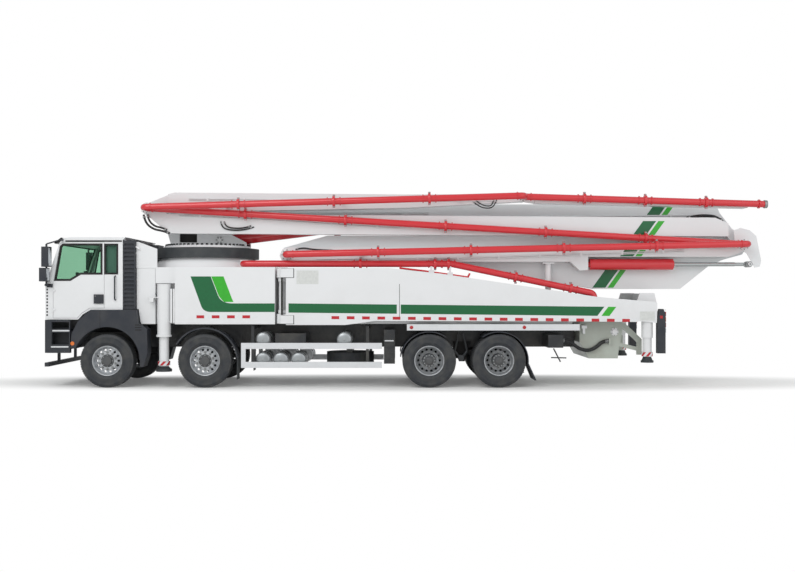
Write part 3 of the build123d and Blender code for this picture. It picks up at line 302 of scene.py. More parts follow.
castSteel = metalFinish("sandCastAxleIron", "2d2c2c", rough=0.6, metallic=0.4, stretch=(1, 1, 1))
railAluminium = metalFinish("extrudedRailAluminium", "e6e8ea", rough=0.36, stretch=(0.4, 8, 8), metallic=0.45,
                            spots=0.02)
tankAluminium = metalFinish("spunTankAluminium", "aeb2b4", rough=0.32, stretch=(1, 1, 1), metallic=0.8)
greenGlass = clearPane("laminatedGreenGlass", "e2f5ea", strength=0.95, slant=0.22)
deepGreen = vinylFilm("castDeepGreenVinyl", "0a6436")
brightGreen = vinylFilm("castBrightGreenVinyl", "35b129")
plateWhite = vinylFilm("printedBlankPlate", "d9dbd8")
tapeRed = vinylFilm("prismaticRedTape", "c22630", rough=0.22, cell=0.01)
tapeWhite = vinylFilm("prismaticWhiteTape", "e9ebec", rough=0.22, cell=0.01)
# near-black rubber for the real seals, also used as painted shade in holes, gaps and round lugs
seamBlackAndPaintedShade = mouldedPlastic("mouldedSeamRubberAndPaintedShade", "101113", grain=0.006, rough=0.7)
orangeLens = lampLens("mouldedOrangeLens", "e8761b")
redLens = lampLens("mouldedRedLens", "b3141b")
clearLens = lampLens("mouldedClearLens", "d5dadd")

nodeFinish = {
    "chassis_frame": framePaint, "engine": castSteel, "cab_shell": whitePaint, "cab_glass": greenGlass,
    "cab_interior": trimPlastic, "front_bumper": blackPlastic, "mudguards": blackPlastic,
    "mirrors": blackPlastic, "intake_stacks": blackPlastic, "axles": castSteel, "pedestal": whitePaint,
    "ring_guard": skirtRubber, "side_cabinets": whitePaint, "deck": whitePaint, "side_guards": railAluminium,
    "spare_wheel": tyreRubber,
    "hopper": hopperPaint, "hopper_grate": hopperPaint, "deck_pipe": redPaint, "return_hose": hoseRubber,
    "turret": whitePaint, "lift_barrel": redPaint, "lift_rod": chromeRod, "knuckle_cylinder": redPaint,
}
for side in ("left", "right"):
    nodeFinish.update({
        "door_" + side: whitePaint, "door_glass_" + side: greenGlass, "front_arm_" + side: whitePaint,
        "front_jack_" + side: whitePaint, "rear_arm_" + side: whitePaint, "rear_jack_" + side: whitePaint,
        "knuckle_1_" + side: castSteel, "knuckle_2_" + side: castSteel,
    })
    for axle in "1234":
        nodeFinish[f"wheel_{axle}_{side}"] = tyreRubber
for number in range(1, 7):
    nodeFinish[f"boom_{number}"] = boomPaint
    nodeFinish[f"pipe_{number}"] = redPaint
for name, node in nodes.items():
    node.data.materials.clear()
    node.data.materials.append(nodeFinish[name])


def refinish(name, material, low, high):
    # the node's faces whose middles lie in a box take another material
    node = nodes[name]
    node.data.materials.append(material)
    index = len(node.data.materials) - 1
    for face in node.data.polygons:
        middle = node.matrix_world @ face.center
        if all(a <= value <= b for a, value, b in zip(low, middle, high)):
            face.material_index = index


far = 99  # past anything on the truck
refinish("knuckle_cylinder", chromeRod, (5.415, -far, 2.38), (6.60, far, 2.60))
refinish("knuckle_cylinder", zincSteel, (6.60, -far, 2.38), (7.10, far, 2.60))
refinish("hopper", whitePaint, (-far, -far, 1.7152), (far, far, far))
refinish("turret", redPaint, (-far, 0.50, 2.90), (far, far, far))
refinish("side_guards", framePaint, (-3.182, -far, 0.40), (-3.118, far, 1.242))
refinish("side_guards", framePaint, (-0.882, -far, 0.40), (-0.818, far, 1.242))
refinish("side_guards", blackPlastic, (-0.530, -far, 0.47), (-0.290, far, 1.170))
print("materials made")


# ---- building meshes ----
def pivot(name):
    return Vector(joints[name]["pos_m"])


def boxInto(bm, low, high, material=0, turn=None):
    # a box between two opposite corners; turn is a matrix applied after
    xs, ys, zs = [(min(pair), max(pair)) for pair in zip(low, high)]
    corners = [Vector((x, y, z)) for z in zs for y in ys for x in xs]
    if turn is not None:
        corners = [turn @ corner for corner in corners]
    v = [bm.verts.new(corner) for corner in corners]
    for loop in ((0, 2, 3, 1), (4, 5, 7, 6), (0, 1, 5, 4), (2, 6, 7, 3), (0, 4, 6, 2), (1, 3, 7, 5)):
        bm.faces.new([v[i] for i in loop]).material_index = material


def boxesInto(bm, sign, boxes):
    # rows of x0, x1, y0, y1, z0, z1 and material, Y times the side's sign
    for x0, x1, y0, y1, z0, z1, material in boxes:
        boxInto(bm, (x0, sign * y0, z0), (x1, sign * y1, z1), material)


def prismInto(bm, outline, near, far, material=0):
    # an (x, z) outline between two Y places
    front = [bm.verts.new((x, near, z)) for x, z in outline]
    back = [bm.verts.new((x, far, z)) for x, z in outline]
    bm.faces.new(front).material_index = material
    bm.faces.new(list(reversed(back))).material_index = material
    for i, vert in enumerate(front):
        j = (i + 1) % len(front)
        bm.faces.new([vert, back[i], back[j], front[j]]).material_index = material


def latheInto(bm, profile, start, axis, steps=32, material=0, closed=False):
    # (radius, distance) pairs turned about a line; closed joins the last pair to the first
    axis = Vector(axis).normalized()
    side = axis.orthogonal().normalized()
    up = axis.cross(side)
    rings = []
    for radius, along in profile:
        middle = Vector(start) + axis * along
        if radius < 1e-6:
            rings.append([bm.verts.new(middle)])
            continue
        rings.append([bm.verts.new(middle + side * radius * cos(2 * pi * i / steps)
                                   + up * radius * sin(2 * pi * i / steps)) for i in range(steps)])
    pairs = list(zip(rings, rings[1:]))
    if closed:
        pairs.append((rings[-1], rings[0]))
    for one, two in pairs:
        for i in range(steps):
            j = (i + 1) % steps
            if len(one) == 1 and len(two) == 1:
                continue
            if len(one) == 1:
                loop = [one[0], two[i], two[j]]
            elif len(two) == 1:
                loop = [one[i], two[0], one[j]]
            else:
                loop = [one[i], two[i], two[j], one[j]]
            bm.faces.new(loop).material_index = material


def barInto(bm, start, end, radius, steps=16, material=0):
    # a round bar with flat ends
    length = (Vector(end) - Vector(start)).length
    latheInto(bm, [(0, 0), (radius, 0), (radius, length), (0, length)], start, Vector(end) - Vector(start),
              steps, material)


def boltInto(bm, place, axis, size, material=0, height=None):
    # a hexagon head with its washer, size across the flats
    tall = height or size * 0.62
    washer = size * 0.82
    latheInto(bm, [(0, 0), (washer, 0), (washer, size * 0.12), (0, size * 0.12)], place, axis, 16, material)
    latheInto(bm, [(0, 0), (size / 1.732, 0), (size / 1.732, tall * 0.86), (size * 0.46, tall), (0, tall)],
              place, axis, 6, material)


def makePiece(name, bm, materials, body, bevel=0.0, sharp=35, segments=2):
    bmesh.ops.remove_doubles(bm, verts=bm.verts, dist=1e-6)
    bmesh.ops.recalc_face_normals(bm, faces=bm.faces)
    for edge in bm.edges:
        edge.smooth = len(edge.link_faces) == 2 and edge.calc_face_angle(0) < radians(sharp)
    for face in bm.faces:
        face.smooth = True
    mesh = bpy.data.meshes.new(name)
    bm.to_mesh(mesh)
    bm.free()
    for material in materials:
        mesh.materials.append(material)
    piece = addObject(name, mesh)
    if bevel:
        rounding = piece.modifiers.new("rounding", "BEVEL")
        rounding.width = bevel
        rounding.segments = segments
        rounding.limit_method = "ANGLE"
        rounding.angle_limit = radians(40)
        rounding.use_clamp_overlap = True
    if body:
        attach(piece, body)
    return piece


def makeBoxes(name, materials, body, bevel, sign, boxes):
    bm = bmesh.new()
    boxesInto(bm, sign, boxes)
    return makePiece(name, bm, materials, body, bevel=bevel)


def around(count, radius, shift=0.0):
    # even steps round a circle, as pairs
    angles = [2 * pi * (i + shift) / count for i in range(count)]
    return [(radius * cos(angle), radius * sin(angle)) for angle in angles]


def cutMesh(bm, cutters):
    # the first mesh less the second
    meshes = []
    for part in (bm, cutters):
        bmesh.ops.recalc_face_normals(part, faces=part.faces)
        mesh = bpy.data.meshes.new("part")
        part.to_mesh(mesh)
        part.free()
        meshes.append(addObject("part", mesh))
    cut = meshes[0].modifiers.new("cut", "BOOLEAN")
    cut.operation = "DIFFERENCE"
    cut.solver = "EXACT"
    cut.object = meshes[1]
    shaped = meshes[0].evaluated_get(bpy.context.evaluated_depsgraph_get())
    result = bmesh.new()
    result.from_mesh(shaped.to_mesh())
    for holder in meshes:
        mesh = holder.data
        bpy.data.objects.remove(holder)
        bpy.data.meshes.remove(mesh)
    return result


def hoseAlong(name, points, radius, body, material):
    # a hose or pipe on a smooth line through the space that its points turn round
    data = bpy.data.curves.new(name, "CURVE")
    data.dimensions = "3D"
    data.bevel_depth = radius
    data.bevel_resolution = 3
    data.resolution_u = 8
    data.use_fill_caps = True
    spline = data.splines.new("NURBS")
    spline.points.add(len(points) - 1)
    for point, place in zip(spline.points, points):
        point.co = (*place, 1)
    spline.order_u = 3
    spline.use_endpoint_u = True
    data.materials.append(material)
    hose = addObject(name, data)
    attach(hose, body)
    return hose


# ---- wheels ----
wheelStyle = {
    "tyreRadius": 0.540, "treadBase": 0.525, "rimRadius": 0.290,
    "steps": 88, "frontBlocks": 66, "rearBlocks": 46,
    "handHoles": 14, "handHoleRadius": 0.024, "handHoleCircle": 0.218,
    "nuts": 10, "nutCircle": 0.1675, "nutSize": 0.034, "hubCircle": 0.108,
    "twinPitch": 0.345,
}


def tyreInto(bm, style, middle, blocks, lugs):
    # carcass, then tread blocks in rows; middle is how far in it lies from the outer tyre
    base, top = style["treadBase"], style["tyreRadius"]
    bead = style["rimRadius"]
    side = [(bead - 0.004, 0.104), (bead + 0.004, 0.119), (0.312, 0.126), (0.318, 0.132), (0.360, 0.143),
            (0.364, 0.147), (0.372, 0.147), (0.378, 0.146), (0.430, 0.150), (0.470, 0.1475), (0.474, 0.1495),
            (0.482, 0.1485), (0.488, 0.1450), (0.510, 0.1400), (base, 0.1320)]
    profile = [(r, middle + a) for r, a in side] + [(r, middle - a) for r, a in reversed(side)]
    latheInto(bm, profile, (0, 0, 0), (0, -1, 0), style["steps"], 0)
    rows = ((-0.136, -0.088), (-0.079, -0.033), (-0.024, 0.024), (0.033, 0.079), (0.088, 0.136))
    if lugs:
        rows = ((-0.138, -0.074), (-0.064, -0.004), (0.004, 0.064), (0.074, 0.138))
    pitch = 2 * pi / blocks
    for row, (inner, outer) in enumerate(rows):
        shoulder = row in (0, len(rows) - 1)
        fill = 0.74 if shoulder or lugs else 0.9
        drop = 0.006 if shoulder else 0.0
        skew = 0.18 * pitch if lugs else 0.0
        for i in range(blocks):
            start = pitch * (i + 0.5 * (row % 2))
            end = start + pitch * fill
            corners = []
            for radius in (base - 0.012, top):
                for angle, place in ((start, inner), (end, inner), (end + skew, outer),
                                     (start + skew, outer)):
                    edge = place == (inner if row == 0 else outer)
                    r = radius - (drop if radius == top and shoulder and edge else 0)
                    corners.append(bm.verts.new((r * cos(angle), -(middle + place), r * sin(angle))))
            a, b, c, d, e, f, g, h = corners
            for loop in ((e, f, g, h), (a, b, f, e), (b, c, g, f), (c, d, h, g), (d, a, e, h)):
                bm.faces.new(loop).material_index = 0


def rimInto(bm, style, middle):
    # the barrel and its rolled flanges
    r = style["rimRadius"]
    half = [(r - 0.006, 0.100), (r + 0.010, 0.112), (r + 0.013, 0.121), (r + 0.006, 0.127),
            (r - 0.004, 0.124), (r - 0.014, 0.112), (r - 0.020, 0.094), (r - 0.030, 0.060), (r - 0.032, 0.020)]
    profile = [(radius, middle + a) for radius, a in half]
    profile += [(radius, middle - a) for radius, a in reversed(half)]
    latheInto(bm, profile, (0, 0, 0), (0, -1, 0), style["steps"], 1)


def discInto(bm, style, profile):
    # the pressed disc with its hand holes
    disc = bmesh.new()
    latheInto(disc, profile, (0, 0, 0), (0, -1, 0), style["steps"], 1, closed=True)
    holes = bmesh.new()
    for x, z in around(style["handHoles"], style["handHoleCircle"]):
        barInto(holes, (x, 0.3, z), (x, -0.3, z), style["handHoleRadius"], 20, 1)
    cut = cutMesh(disc, holes)
    spare = bpy.data.meshes.new("disc")
    cut.to_mesh(spare)
    cut.free()
    bm.from_mesh(spare)
    bpy.data.meshes.remove(spare)


def nutsInto(bm, style, face):
    for x, z in around(style["nuts"], style["nutCircle"], 0.5):
        boltInto(bm, (x, -face, z), (0, -1, 0), style["nutSize"], 3, 0.030)
        barInto(bm, (x, -face, z), (x, -face - 0.042, z), 0.010, 10, 3)


def frontWheelMesh(style):
    bm = bmesh.new()
    tyreInto(bm, style, 0.0, style["frontBlocks"], False)
    rimInto(bm, style, 0.0)
    discInto(bm, style, [(0.262, 0.046), (0.246, 0.050), (0.200, 0.082), (0.190, 0.092), (0.100, 0.092),
                         (0.100, 0.078), (0.186, 0.078), (0.196, 0.068), (0.242, 0.036), (0.262, 0.032)])
    nutsInto(bm, style, 0.092)
    # hub cap, then the drum behind the disc
    latheInto(bm, [(0.132, 0.060), (0.130, 0.098), (0.118, 0.108), (0.100, 0.110), (0.096, 0.128),
                   (0.088, 0.139), (0.060, 0.144), (0, 0.145)], (0, 0, 0), (0, -1, 0), 40, 2)
    latheInto(bm, [(0.150, -0.150), (0.200, -0.140), (0.205, 0.030), (0.120, 0.040)], (0, 0, 0), (0, -1, 0),
              40, 4)
    for x, z in around(8, style["hubCircle"]):
        boltInto(bm, (x, -0.109, z), (0, -1, 0), 0.014, 3)
    return bm


def rearWheelMesh(style):
    bm = bmesh.new()
    for middle in (0.0, -style["twinPitch"]):
        tyreInto(bm, style, middle, style["rearBlocks"], True)
        rimInto(bm, style, middle)
    discInto(bm, style, [(0.262, -0.040), (0.250, -0.046), (0.205, -0.086), (0.192, -0.094), (0.100, -0.094),
                         (0.100, -0.108), (0.190, -0.108), (0.202, -0.100), (0.246, -0.060), (0.262, -0.054)])
    nutsInto(bm, style, -0.094)
    # hub with the flange of the half shaft, bolts, then the drum
    latheInto(bm, [(0.140, -0.100), (0.138, -0.060), (0.124, -0.050), (0.120, 0.050), (0.128, 0.056),
                   (0.128, 0.072), (0.112, 0.076), (0.074, 0.082), (0.066, 0.102), (0.050, 0.108),
                   (0, 0.109)], (0, 0, 0), (0, -1, 0), 40, 2)
    for x, z in around(12, style["hubCircle"]):
        boltInto(bm, (x, -0.075, z), (0, -1, 0), 0.018, 3)
    latheInto(bm, [(0.100, -0.500), (0.205, -0.490), (0.210, -0.120), (0.120, -0.115)], (0, 0, 0), (0, -1, 0),
              40, 4)
    return bm


def makeWheels(style):
    finishes = [tyreRubber, rimSteel, hubPaint, zincSteel, castSteel]
    shared = {}
    for axle in "1234":
        kind = "front" if axle in "12" else "rear"
        for side in ("left", "right"):
            name = f"wheel_{axle}_{side}"
            if kind not in shared:
                bm = frontWheelMesh(style) if kind == "front" else rearWheelMesh(style)
                piece = makePiece("tyreAndRim_" + name, bm, finishes, None, sharp=32)
                shared[kind] = piece.data
            else:
                piece = addObject("tyreAndRim_" + name, shared[kind])
            turn = 0 if side == "left" else pi
            piece.matrix_world = (Matrix.Translation(pivot(f"roll_{axle}_{side}"))
                                  @ Matrix.Rotation(turn, 4, "Z"))
            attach(piece, name)
            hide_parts(name)


makeWheels(wheelStyle)
print("wheels made")


# ---- vinyl stripes, tape and blank plates ----
filmGap, filmThick = 0.0004, 0.0012


def curvePoints(start, bend, end, count=8):
    # a smooth turn from start to end, pulled towards bend
    points = []
    for i in range(count + 1):
        t = i / count
        points.append(tuple((1 - t) ** 2 * a + 2 * t * (1 - t) * b + t * t * c
                            for a, b, c in zip(start, bend, end)))
    return points


def makeFilm(name, outlines, face, material, body, outward=-1):
    # flat film pieces on a side face; outlines are (x, z) corners
    bm = bmesh.new()
    for outline in outlines:
        prismInto(bm, outline, face + outward * filmGap, face + outward * (filmGap + filmThick))
    return makePiece(name, bm, [material], body, sharp=20)


def slanted(x, low, high, width, lean):
    # a leaning bar between two heights; x is its foot's left corner
    rise = (high - low) * lean
    return [(x, low), (x + width, low), (x + width + rise, high), (x + rise, high)]


cabinetStripe = {
    "top": 2.232, "bandTop": 1.692, "bandLow": 1.520, "darkLeft": -4.388, "darkRight": -3.985,
    "lightRight": -3.728, "footLeft": -4.135, "end": -2.704,
}
armStripe = {"low": 1.508, "high": 1.692, "start": -2.428, "split": (-0.262, -0.182), "end": 3.75,
             "lean": 0.75, "lightStart": 3.83, "lightWidth": 0.16, "slope": -0.0105}
tape = {"height": 0.060, "lean": -0.0095, "red": 0.154, "pitch": 0.306, "cabinetAt": 1.424, "armAt": 1.408,
        "cabinetFrom": -4.268, "cabinetTo": -2.74, "armFrom": -1.568, "armTo": 4.560}


def oblong(x0, x1, z0, z1):
    return [(x0, z0), (x1, z0), (x1, z1), (x0, z1)]


def sloped(outline, start, slope):
    # the outline let down along X from a start
    return [(x, z + slope * (x - start)) for x, z in outline]


def swooshOutlines(style):
    top, bandTop, bandLow = style["top"], style["bandTop"], style["bandLow"]
    foot, edge, rim = style["footLeft"], style["darkRight"], style["lightRight"]
    dark = [(style["darkLeft"], top), (edge, top)]
    dark += curvePoints((edge + 0.150, top - 0.390), (edge + 0.215, bandTop + 0.005), (edge + 0.420, bandTop))
    dark += [(style["end"], bandTop), (style["end"], bandLow)]
    dark += curvePoints((foot + 0.150, bandLow), (foot + 0.010, bandLow + 0.002),
                        (foot - 0.035, bandLow + 0.110), 6)
    light = [(edge + 0.012, top), (rim, top)]
    light += curvePoints((rim + 0.115, top - 0.300), (rim + 0.165, top - 0.440),
                         (rim + 0.200, bandTop + 0.028), 6)
    light += curvePoints((rim + 0.020, bandTop + 0.028), (edge + 0.225, bandTop + 0.060),
                         (edge + 0.162, top - 0.390), 6)
    return dark, light


def tapeBands(start, end, height, lean):
    # reds and whites by turns, level or let down along X
    reds, whites = [], []
    low, high = height - tape["height"] / 2, height + tape["height"] / 2
    x = start
    while x + tape["pitch"] < end:
        middle, last = x + tape["red"], x + tape["pitch"]
        reds.append(sloped(oblong(x, middle, low, high), start, lean))
        whites.append(sloped(oblong(middle, last, low, high), start, lean))
        x += tape["pitch"]
    return reds, whites


def makeSideFilms(s):
    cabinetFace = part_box("side_cabinets")[0][1]
    dark, light = swooshOutlines(cabinetStripe)
    low, high = s["low"], s["high"]
    first = oblong(s["start"], s["split"][0], low, high)
    second = [(s["split"][1], low), (s["end"], low), (s["end"] + (high - low) * s["lean"], high),
              (s["split"][1], high)]
    bar = slanted(s["lightStart"], low, high, s["lightWidth"], s["lean"])
    bands = [sloped(outline, s["start"], s["slope"]) for outline in (first, second)]
    plates = [oblong(-2.268, -1.828, 2.080, 2.350), oblong(4.600, 4.900, 1.350, 1.530)]
    for side, out in sides:
        face = -cabinetFace * out
        body = f"rear_arm_{side}"
        makeFilm(f"deepGreenSwoosh_{side}", [dark], face, deepGreen, "chassis", out)
        makeFilm(f"brightGreenSwoosh_{side}", [light], face, brightGreen, "chassis", out)
        makeFilm(f"deepGreenArmBand_{side}", bands, face, deepGreen, body, out)
        makeFilm(f"brightGreenArmBar_{side}", [sloped(bar, s["start"], s["slope"])], face, brightGreen, body,
                 out)
        for where, on, lean in (("cabinet", "chassis", 0.0), ("arm", body, tape["lean"])):
            reds, whites = tapeBands(tape[where + "From"], tape[where + "To"], tape[where + "At"], lean)
            makeFilm(f"redTape_{where}_{side}", reds, face, tapeRed, on, out)
            makeFilm(f"whiteTape_{where}_{side}", whites, face, tapeWhite, on, out)
        makeFilm(f"blankPlates_{side}", plates, face, plateWhite, body, out)


# the leaning double stripe across the stowed sections, bar by bar:
# body, face, low and high z, left x of the dark bar's foot, width of the light bar
boomStripes = (
    ("boom_1", -0.250, 3.543, 3.722, 4.998, 0.120), ("boom_4", -0.830, 3.085, 3.372, 4.565, 0.130),
    ("boom_3", -0.830, 2.650, 2.780, 4.300, 0.125), ("boom_2", -0.545, 2.010, 2.400, 3.793, 0.120),
)
boomStripe = {"dark": 0.268, "gap": 0.045, "lean": 0.72}


def makeBoomFilms(style):
    for body, face, low, high, x, light in boomStripes:
        dark = slanted(x, low, high, style["dark"], style["lean"])
        beside = slanted(x + style["dark"] + style["gap"], low, high, light, style["lean"])
        makeFilm(f"deepGreenBar_{body}", [dark], face, deepGreen, body)
        makeFilm(f"brightGreenBar_{body}", [beside], face, brightGreen, body)
    # the first section's dark bar is there on its right side too
    body, face, low, high, x, light = boomStripes[0]
    dark = slanted(x, low, high, style["dark"], style["lean"])
    makeFilm(f"deepGreenBar_{body}_right", [dark], -face, deepGreen, body, 1)


makeSideFilms(armStripe)
makeBoomFilms(boomStripe)
print("stripes and tape made")


# ---- cab ----
def offsetOutline(outline, by):
    # corners moved outwards by a distance along mitred edges
    area = sum(a[0] * b[1] - b[0] * a[1] for a, b in zip(outline, outline[1:] + outline[:1]))
    turn = 1 if area > 0 else -1
    moved = []
    count = len(outline)
    for i in range(count):
        before, at, after = outline[i - 1], outline[i], outline[(i + 1) % count]
        one = Vector((at[0] - before[0], at[1] - before[1])).normalized()
        two = Vector((after[0] - at[0], after[1] - at[1])).normalized()
        normal = (Vector((one.y, -one.x)) + Vector((two.y, -two.x))) * turn
        normal.normalize()
        scale = by / max(0.3, normal.dot(Vector((one.y, -one.x)) * turn))
        moved.append((at[0] + normal.x * scale, at[1] + normal.y * scale))
    return moved


def ringInto(bm, outer, inner, near, far, material=0):
    # a flat frame between two outlines with the same number of corners
    rings = [[bm.verts.new((x, y, z)) for x, z in outline] for outline in (outer, inner) for y in (near, far)]
    count = len(outer)
    for i in range(count):
        j = (i + 1) % count
        for one, two in ((0, 2), (2, 3), (3, 1), (1, 0)):
            face = bm.faces.new([rings[one][i], rings[one][j], rings[two][j], rings[two][i]])
            face.material_index = material


cab = {
    "side": 1.200, "front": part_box("cab_shell")[0][0], "pillarFoot": 2.060, "pillarTop": (-7.030, 2.900),
    "window": [(-7.105, 2.168), (-6.990, 2.830), (-6.950, 2.868), (-6.188, 2.868), (-6.188, 2.294),
               (-6.604, 2.294), (-6.814, 2.168)],
    "quarter": [(-6.110, 2.294), (-6.110, 2.868), (-5.870, 2.868), (-5.870, 2.294)],
}


def makeCabTrim(style):
    for side, sign in (("left", -1), ("right", 1)):
        face = style["side"] * sign
        out = face + sign * 0.006
        bm = bmesh.new()
        ringInto(bm, offsetOutline(style["window"], 0.026), offsetOutline(style["window"], -0.016),
                 face - sign * 0.030, out)
        makePiece(f"doorWindowSeal_{side}", bm, [seamBlackAndPaintedShade], f"door_{side}", bevel=0.003)
        bm = bmesh.new()
        ringInto(bm, offsetOutline(style["quarter"], 0.022), offsetOutline(style["quarter"], -0.014),
                 face - sign * 0.030, out)
        makePiece(f"quarterWindowSeal_{side}", bm, [seamBlackAndPaintedShade], "chassis", bevel=0.003)
        # recessed pull handle with its lock
        bm = bmesh.new()
        grip = face + sign * 0.0295
        boxInto(bm, (-6.332, face, 1.688), (-6.140, grip, 1.872), 0)
        barInto(bm, (-6.300, grip, 1.838), (-6.300, grip + sign * 0.003, 1.838), 0.012, 16, 1)
        makePiece(f"doorHandle_{side}", bm, [blackPlastic, zincSteel], f"door_{side}", bevel=0.006)
        # turn lamp by the steps
        bm = bmesh.new()
        barInto(bm, (-6.750, sign * 1.245, 0.890), (-6.750, sign * 1.256, 0.890), 0.040, 24, 0)
        makePiece(f"sideTurnLamp_{side}", bm, [orangeLens], "chassis", bevel=0.003)
        # grab rail behind the door
        bm = bmesh.new()
        grip = face + sign * 0.055
        makeRail(bm, [(-5.905, face, 1.760), (-5.905, grip, 1.780), (-5.905, grip, 2.220),
                      (-5.905, face, 2.240)], 0.014)
        makePiece(f"grabRail_{side}", bm, [blackPlastic], "chassis", sharp=50)
    makeFront(style)
    makeRoof(style)


def makeRail(bm, points, radius, steps=12, material=0):
    # a bent round bar, mitred at its corners
    places = [Vector(p) for p in points]
    rings = []
    side = None
    for i, place in enumerate(places):
        before = (place - places[i - 1]).normalized() if i else None
        after = (places[i + 1] - place).normalized() if i < len(places) - 1 else None
        along = ((before or after) + (after or before)).normalized()
        if side is None:
            side = along.orthogonal().normalized()
        side = (side - along * side.dot(along)).normalized()
        up = along.cross(side)
        bent = 1 / max(0.35, along.dot(after or before))
        bends = before and after and before.cross(after).length > 1e-6
        across = before.cross(after).normalized() if bends else None
        ring = []
        for k in range(steps):
            offset = side * cos(2 * pi * k / steps) * radius + up * sin(2 * pi * k / steps) * radius
            if across is not None:
                wide = offset - across * offset.dot(across)
                offset = offset + wide * (bent - 1)
            ring.append(bm.verts.new(place + offset))
        rings.append(ring)
    for one, two in zip(rings, rings[1:]):
        for k in range(steps):
            j = (k + 1) % steps
            bm.faces.new([one[k], one[j], two[j], two[k]]).material_index = material
    bm.faces.new(list(reversed(rings[0]))).material_index = material
    bm.faces.new(rings[-1]).material_index = material


def makeFront(style):
    front = style["front"]
    bm = bmesh.new()
    # grille surround with its slats, and a dark plate behind them painted as the shade in the opening
    outer = [(-0.950, 1.400), (-0.880, 2.020), (0.880, 2.020), (0.950, 1.400)]
    inner = [(-0.870, 1.440), (-0.815, 1.980), (0.815, 1.980), (0.870, 1.440)]
    rings = [[bm.verts.new((x, y, z)) for y, z in outline] for outline in (outer, inner)
             for x in (front - 0.0005, front - 0.034)]
    for i in range(4):
        j = (i + 1) % 4
        for one, two in ((0, 1), (1, 3), (3, 2), (2, 0)):
            bm.faces.new([rings[one][i], rings[one][j], rings[two][j], rings[two][i]])
    for row in range(7):
        z = 1.462 + 0.074 * row
        half = 0.872 - 0.009 * row
        boxInto(bm, (front - 0.030, -half, z), (front - 0.006, half, z + 0.026), 0)
    # painted shade: a flat dark plate where the opening goes in behind the slats
    boxInto(bm, (front - 0.006, -0.870, 1.440), (front - 0.0008, 0.870, 1.980), 1)
    makePiece("frontGrille", bm, [blackPlastic, seamBlackAndPaintedShade], "chassis", bevel=0.004)
    bm = bmesh.new()
    for sign in (-1, 1):
        for row in range(9):
            z = 1.440 + 0.064 * row
            boxesInto(bm, sign, [(front - 0.012, front - 0.0005, 1.02, 1.15, z, z + 0.036, 0),
                                 (front + 0.022, front + 0.052, 1.1995, 1.203, z, z + 0.036, 0)])
    makePiece("cornerAirSlots", bm, [seamBlackAndPaintedShade], "chassis", bevel=0.003)
    # headlamps in the bumper, fog lamps below, blank number plate
    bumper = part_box("front_bumper")[0][0]
    bm = bmesh.new()
    for sign in (-1, 1):
        centre = sign * 0.760
        boxInto(bm, (bumper - 0.0005, centre - 0.150, 1.010), (bumper + 0.010, centre + 0.150, 1.190), 0)
        for shift in (-0.072, 0.072):
            latheInto(bm, [(0.058, 0.0), (0.058, 0.006), (0.050, 0.008), (0.020, 0.009), (0, 0.009)],
                      (bumper + 0.009, centre + shift, 1.105), (-1, 0, 0), 28, 1)
        boxInto(bm, (bumper - 0.0005, centre - 0.100, 0.820), (bumper + 0.008, centre + 0.100, 0.880), 1)
    boxInto(bm, (bumper - 0.0005, -0.260, 0.860), (bumper + 0.004, 0.260, 0.972), 2)
    makePiece("headlampsAndPlate", bm, [seamBlackAndPaintedShade, clearLens, plateWhite], "chassis", bevel=0.002)


def makeRoof(style):
    # sun visor over the screen, marker lamps, round stays behind the roof
    lean = (style["pillarTop"][0] - style["front"]) / (style["pillarTop"][1] - style["pillarFoot"])

    def onScreen(z):
        # just in front of the leaning screen at that height
        return style["front"] + lean * (z - style["pillarFoot"]) - 0.012

    bm = bmesh.new()
    visor = [(-7.145, 2.890), (-7.160, 2.915), (-7.020, 3.018), (-6.990, 3.010), (-7.035, 2.925)]
    prismInto(bm, visor, -1.130, 1.130, 0)
    for y in (-1.0, -0.5, 0.5, 1.0):
        boxInto(bm, (-7.128, y - 0.030, 2.930), (-7.085, y + 0.030, 2.962), 1)
    makePiece("sunVisor", bm, [greenSmoked, orangeLens], "chassis", bevel=0.004)
    bm = bmesh.new()
    for sign in (-1, 1):
        for start, end in (((-5.800, 3.000), (-5.440, 2.780)), ((-5.800, 2.940), (-5.520, 2.690))):
            barInto(bm, (start[0], sign * 1.120, start[1]), (end[0], sign * 1.120, end[1]), 0.020, 12, 0)
        barInto(bm, (-5.800, sign * 1.140, 3.005), (-5.800, sign * 0.700, 3.005), 0.016, 12, 0)
    makePiece("roofStays", bm, [whitePaint], "chassis", sharp=50)
    # wipers parked along the screen's foot
    bm = bmesh.new()
    for y in (-0.55, 0.45):
        barInto(bm, (onScreen(2.070), y, 2.070), (onScreen(2.150), y + 0.300, 2.150), 0.009, 10, 0)
        barInto(bm, (onScreen(2.120), y + 0.020, 2.120), (onScreen(2.180), y + 0.620, 2.180), 0.010, 10, 0)
    makePiece("screenWipers", bm, [seamBlackAndPaintedShade], "chassis", sharp=50)
    bm = bmesh.new()
    low, high, deep, wide = 2.072, 2.888, 0.020, 0.030
    for z0, z1, y0, y1 in ((low, high, -1.090, -1.055), (low, high, 1.055, 1.090),
                           (low, low + wide, -1.056, 1.056), (high, high - wide, -1.056, 1.056)):
        foot, head = onScreen(z0), onScreen(z1)
        prismInto(bm, [(foot, z0), (foot + deep, z0), (head + deep, z1), (head, z1)], y0, y1)
    makePiece("screenSeal", bm, [seamBlackAndPaintedShade], "chassis", bevel=0.003)


greenSmoked = clearPane("mouldedSmokedAcrylic", "3c4441", strength=0.5)
makeCabTrim(cab)
print("cab trim made")


# ---- return hose ----
returnHose = {
    "across": -0.900, "radius": 0.038,
    "route": [(3.0803, 0.940), (3.210, 0.940), (3.340, 0.850), (3.480, 0.750), (3.660, 0.725), (3.810, 0.800),
              (3.930, 0.920), (4.0497, 0.920)],
}


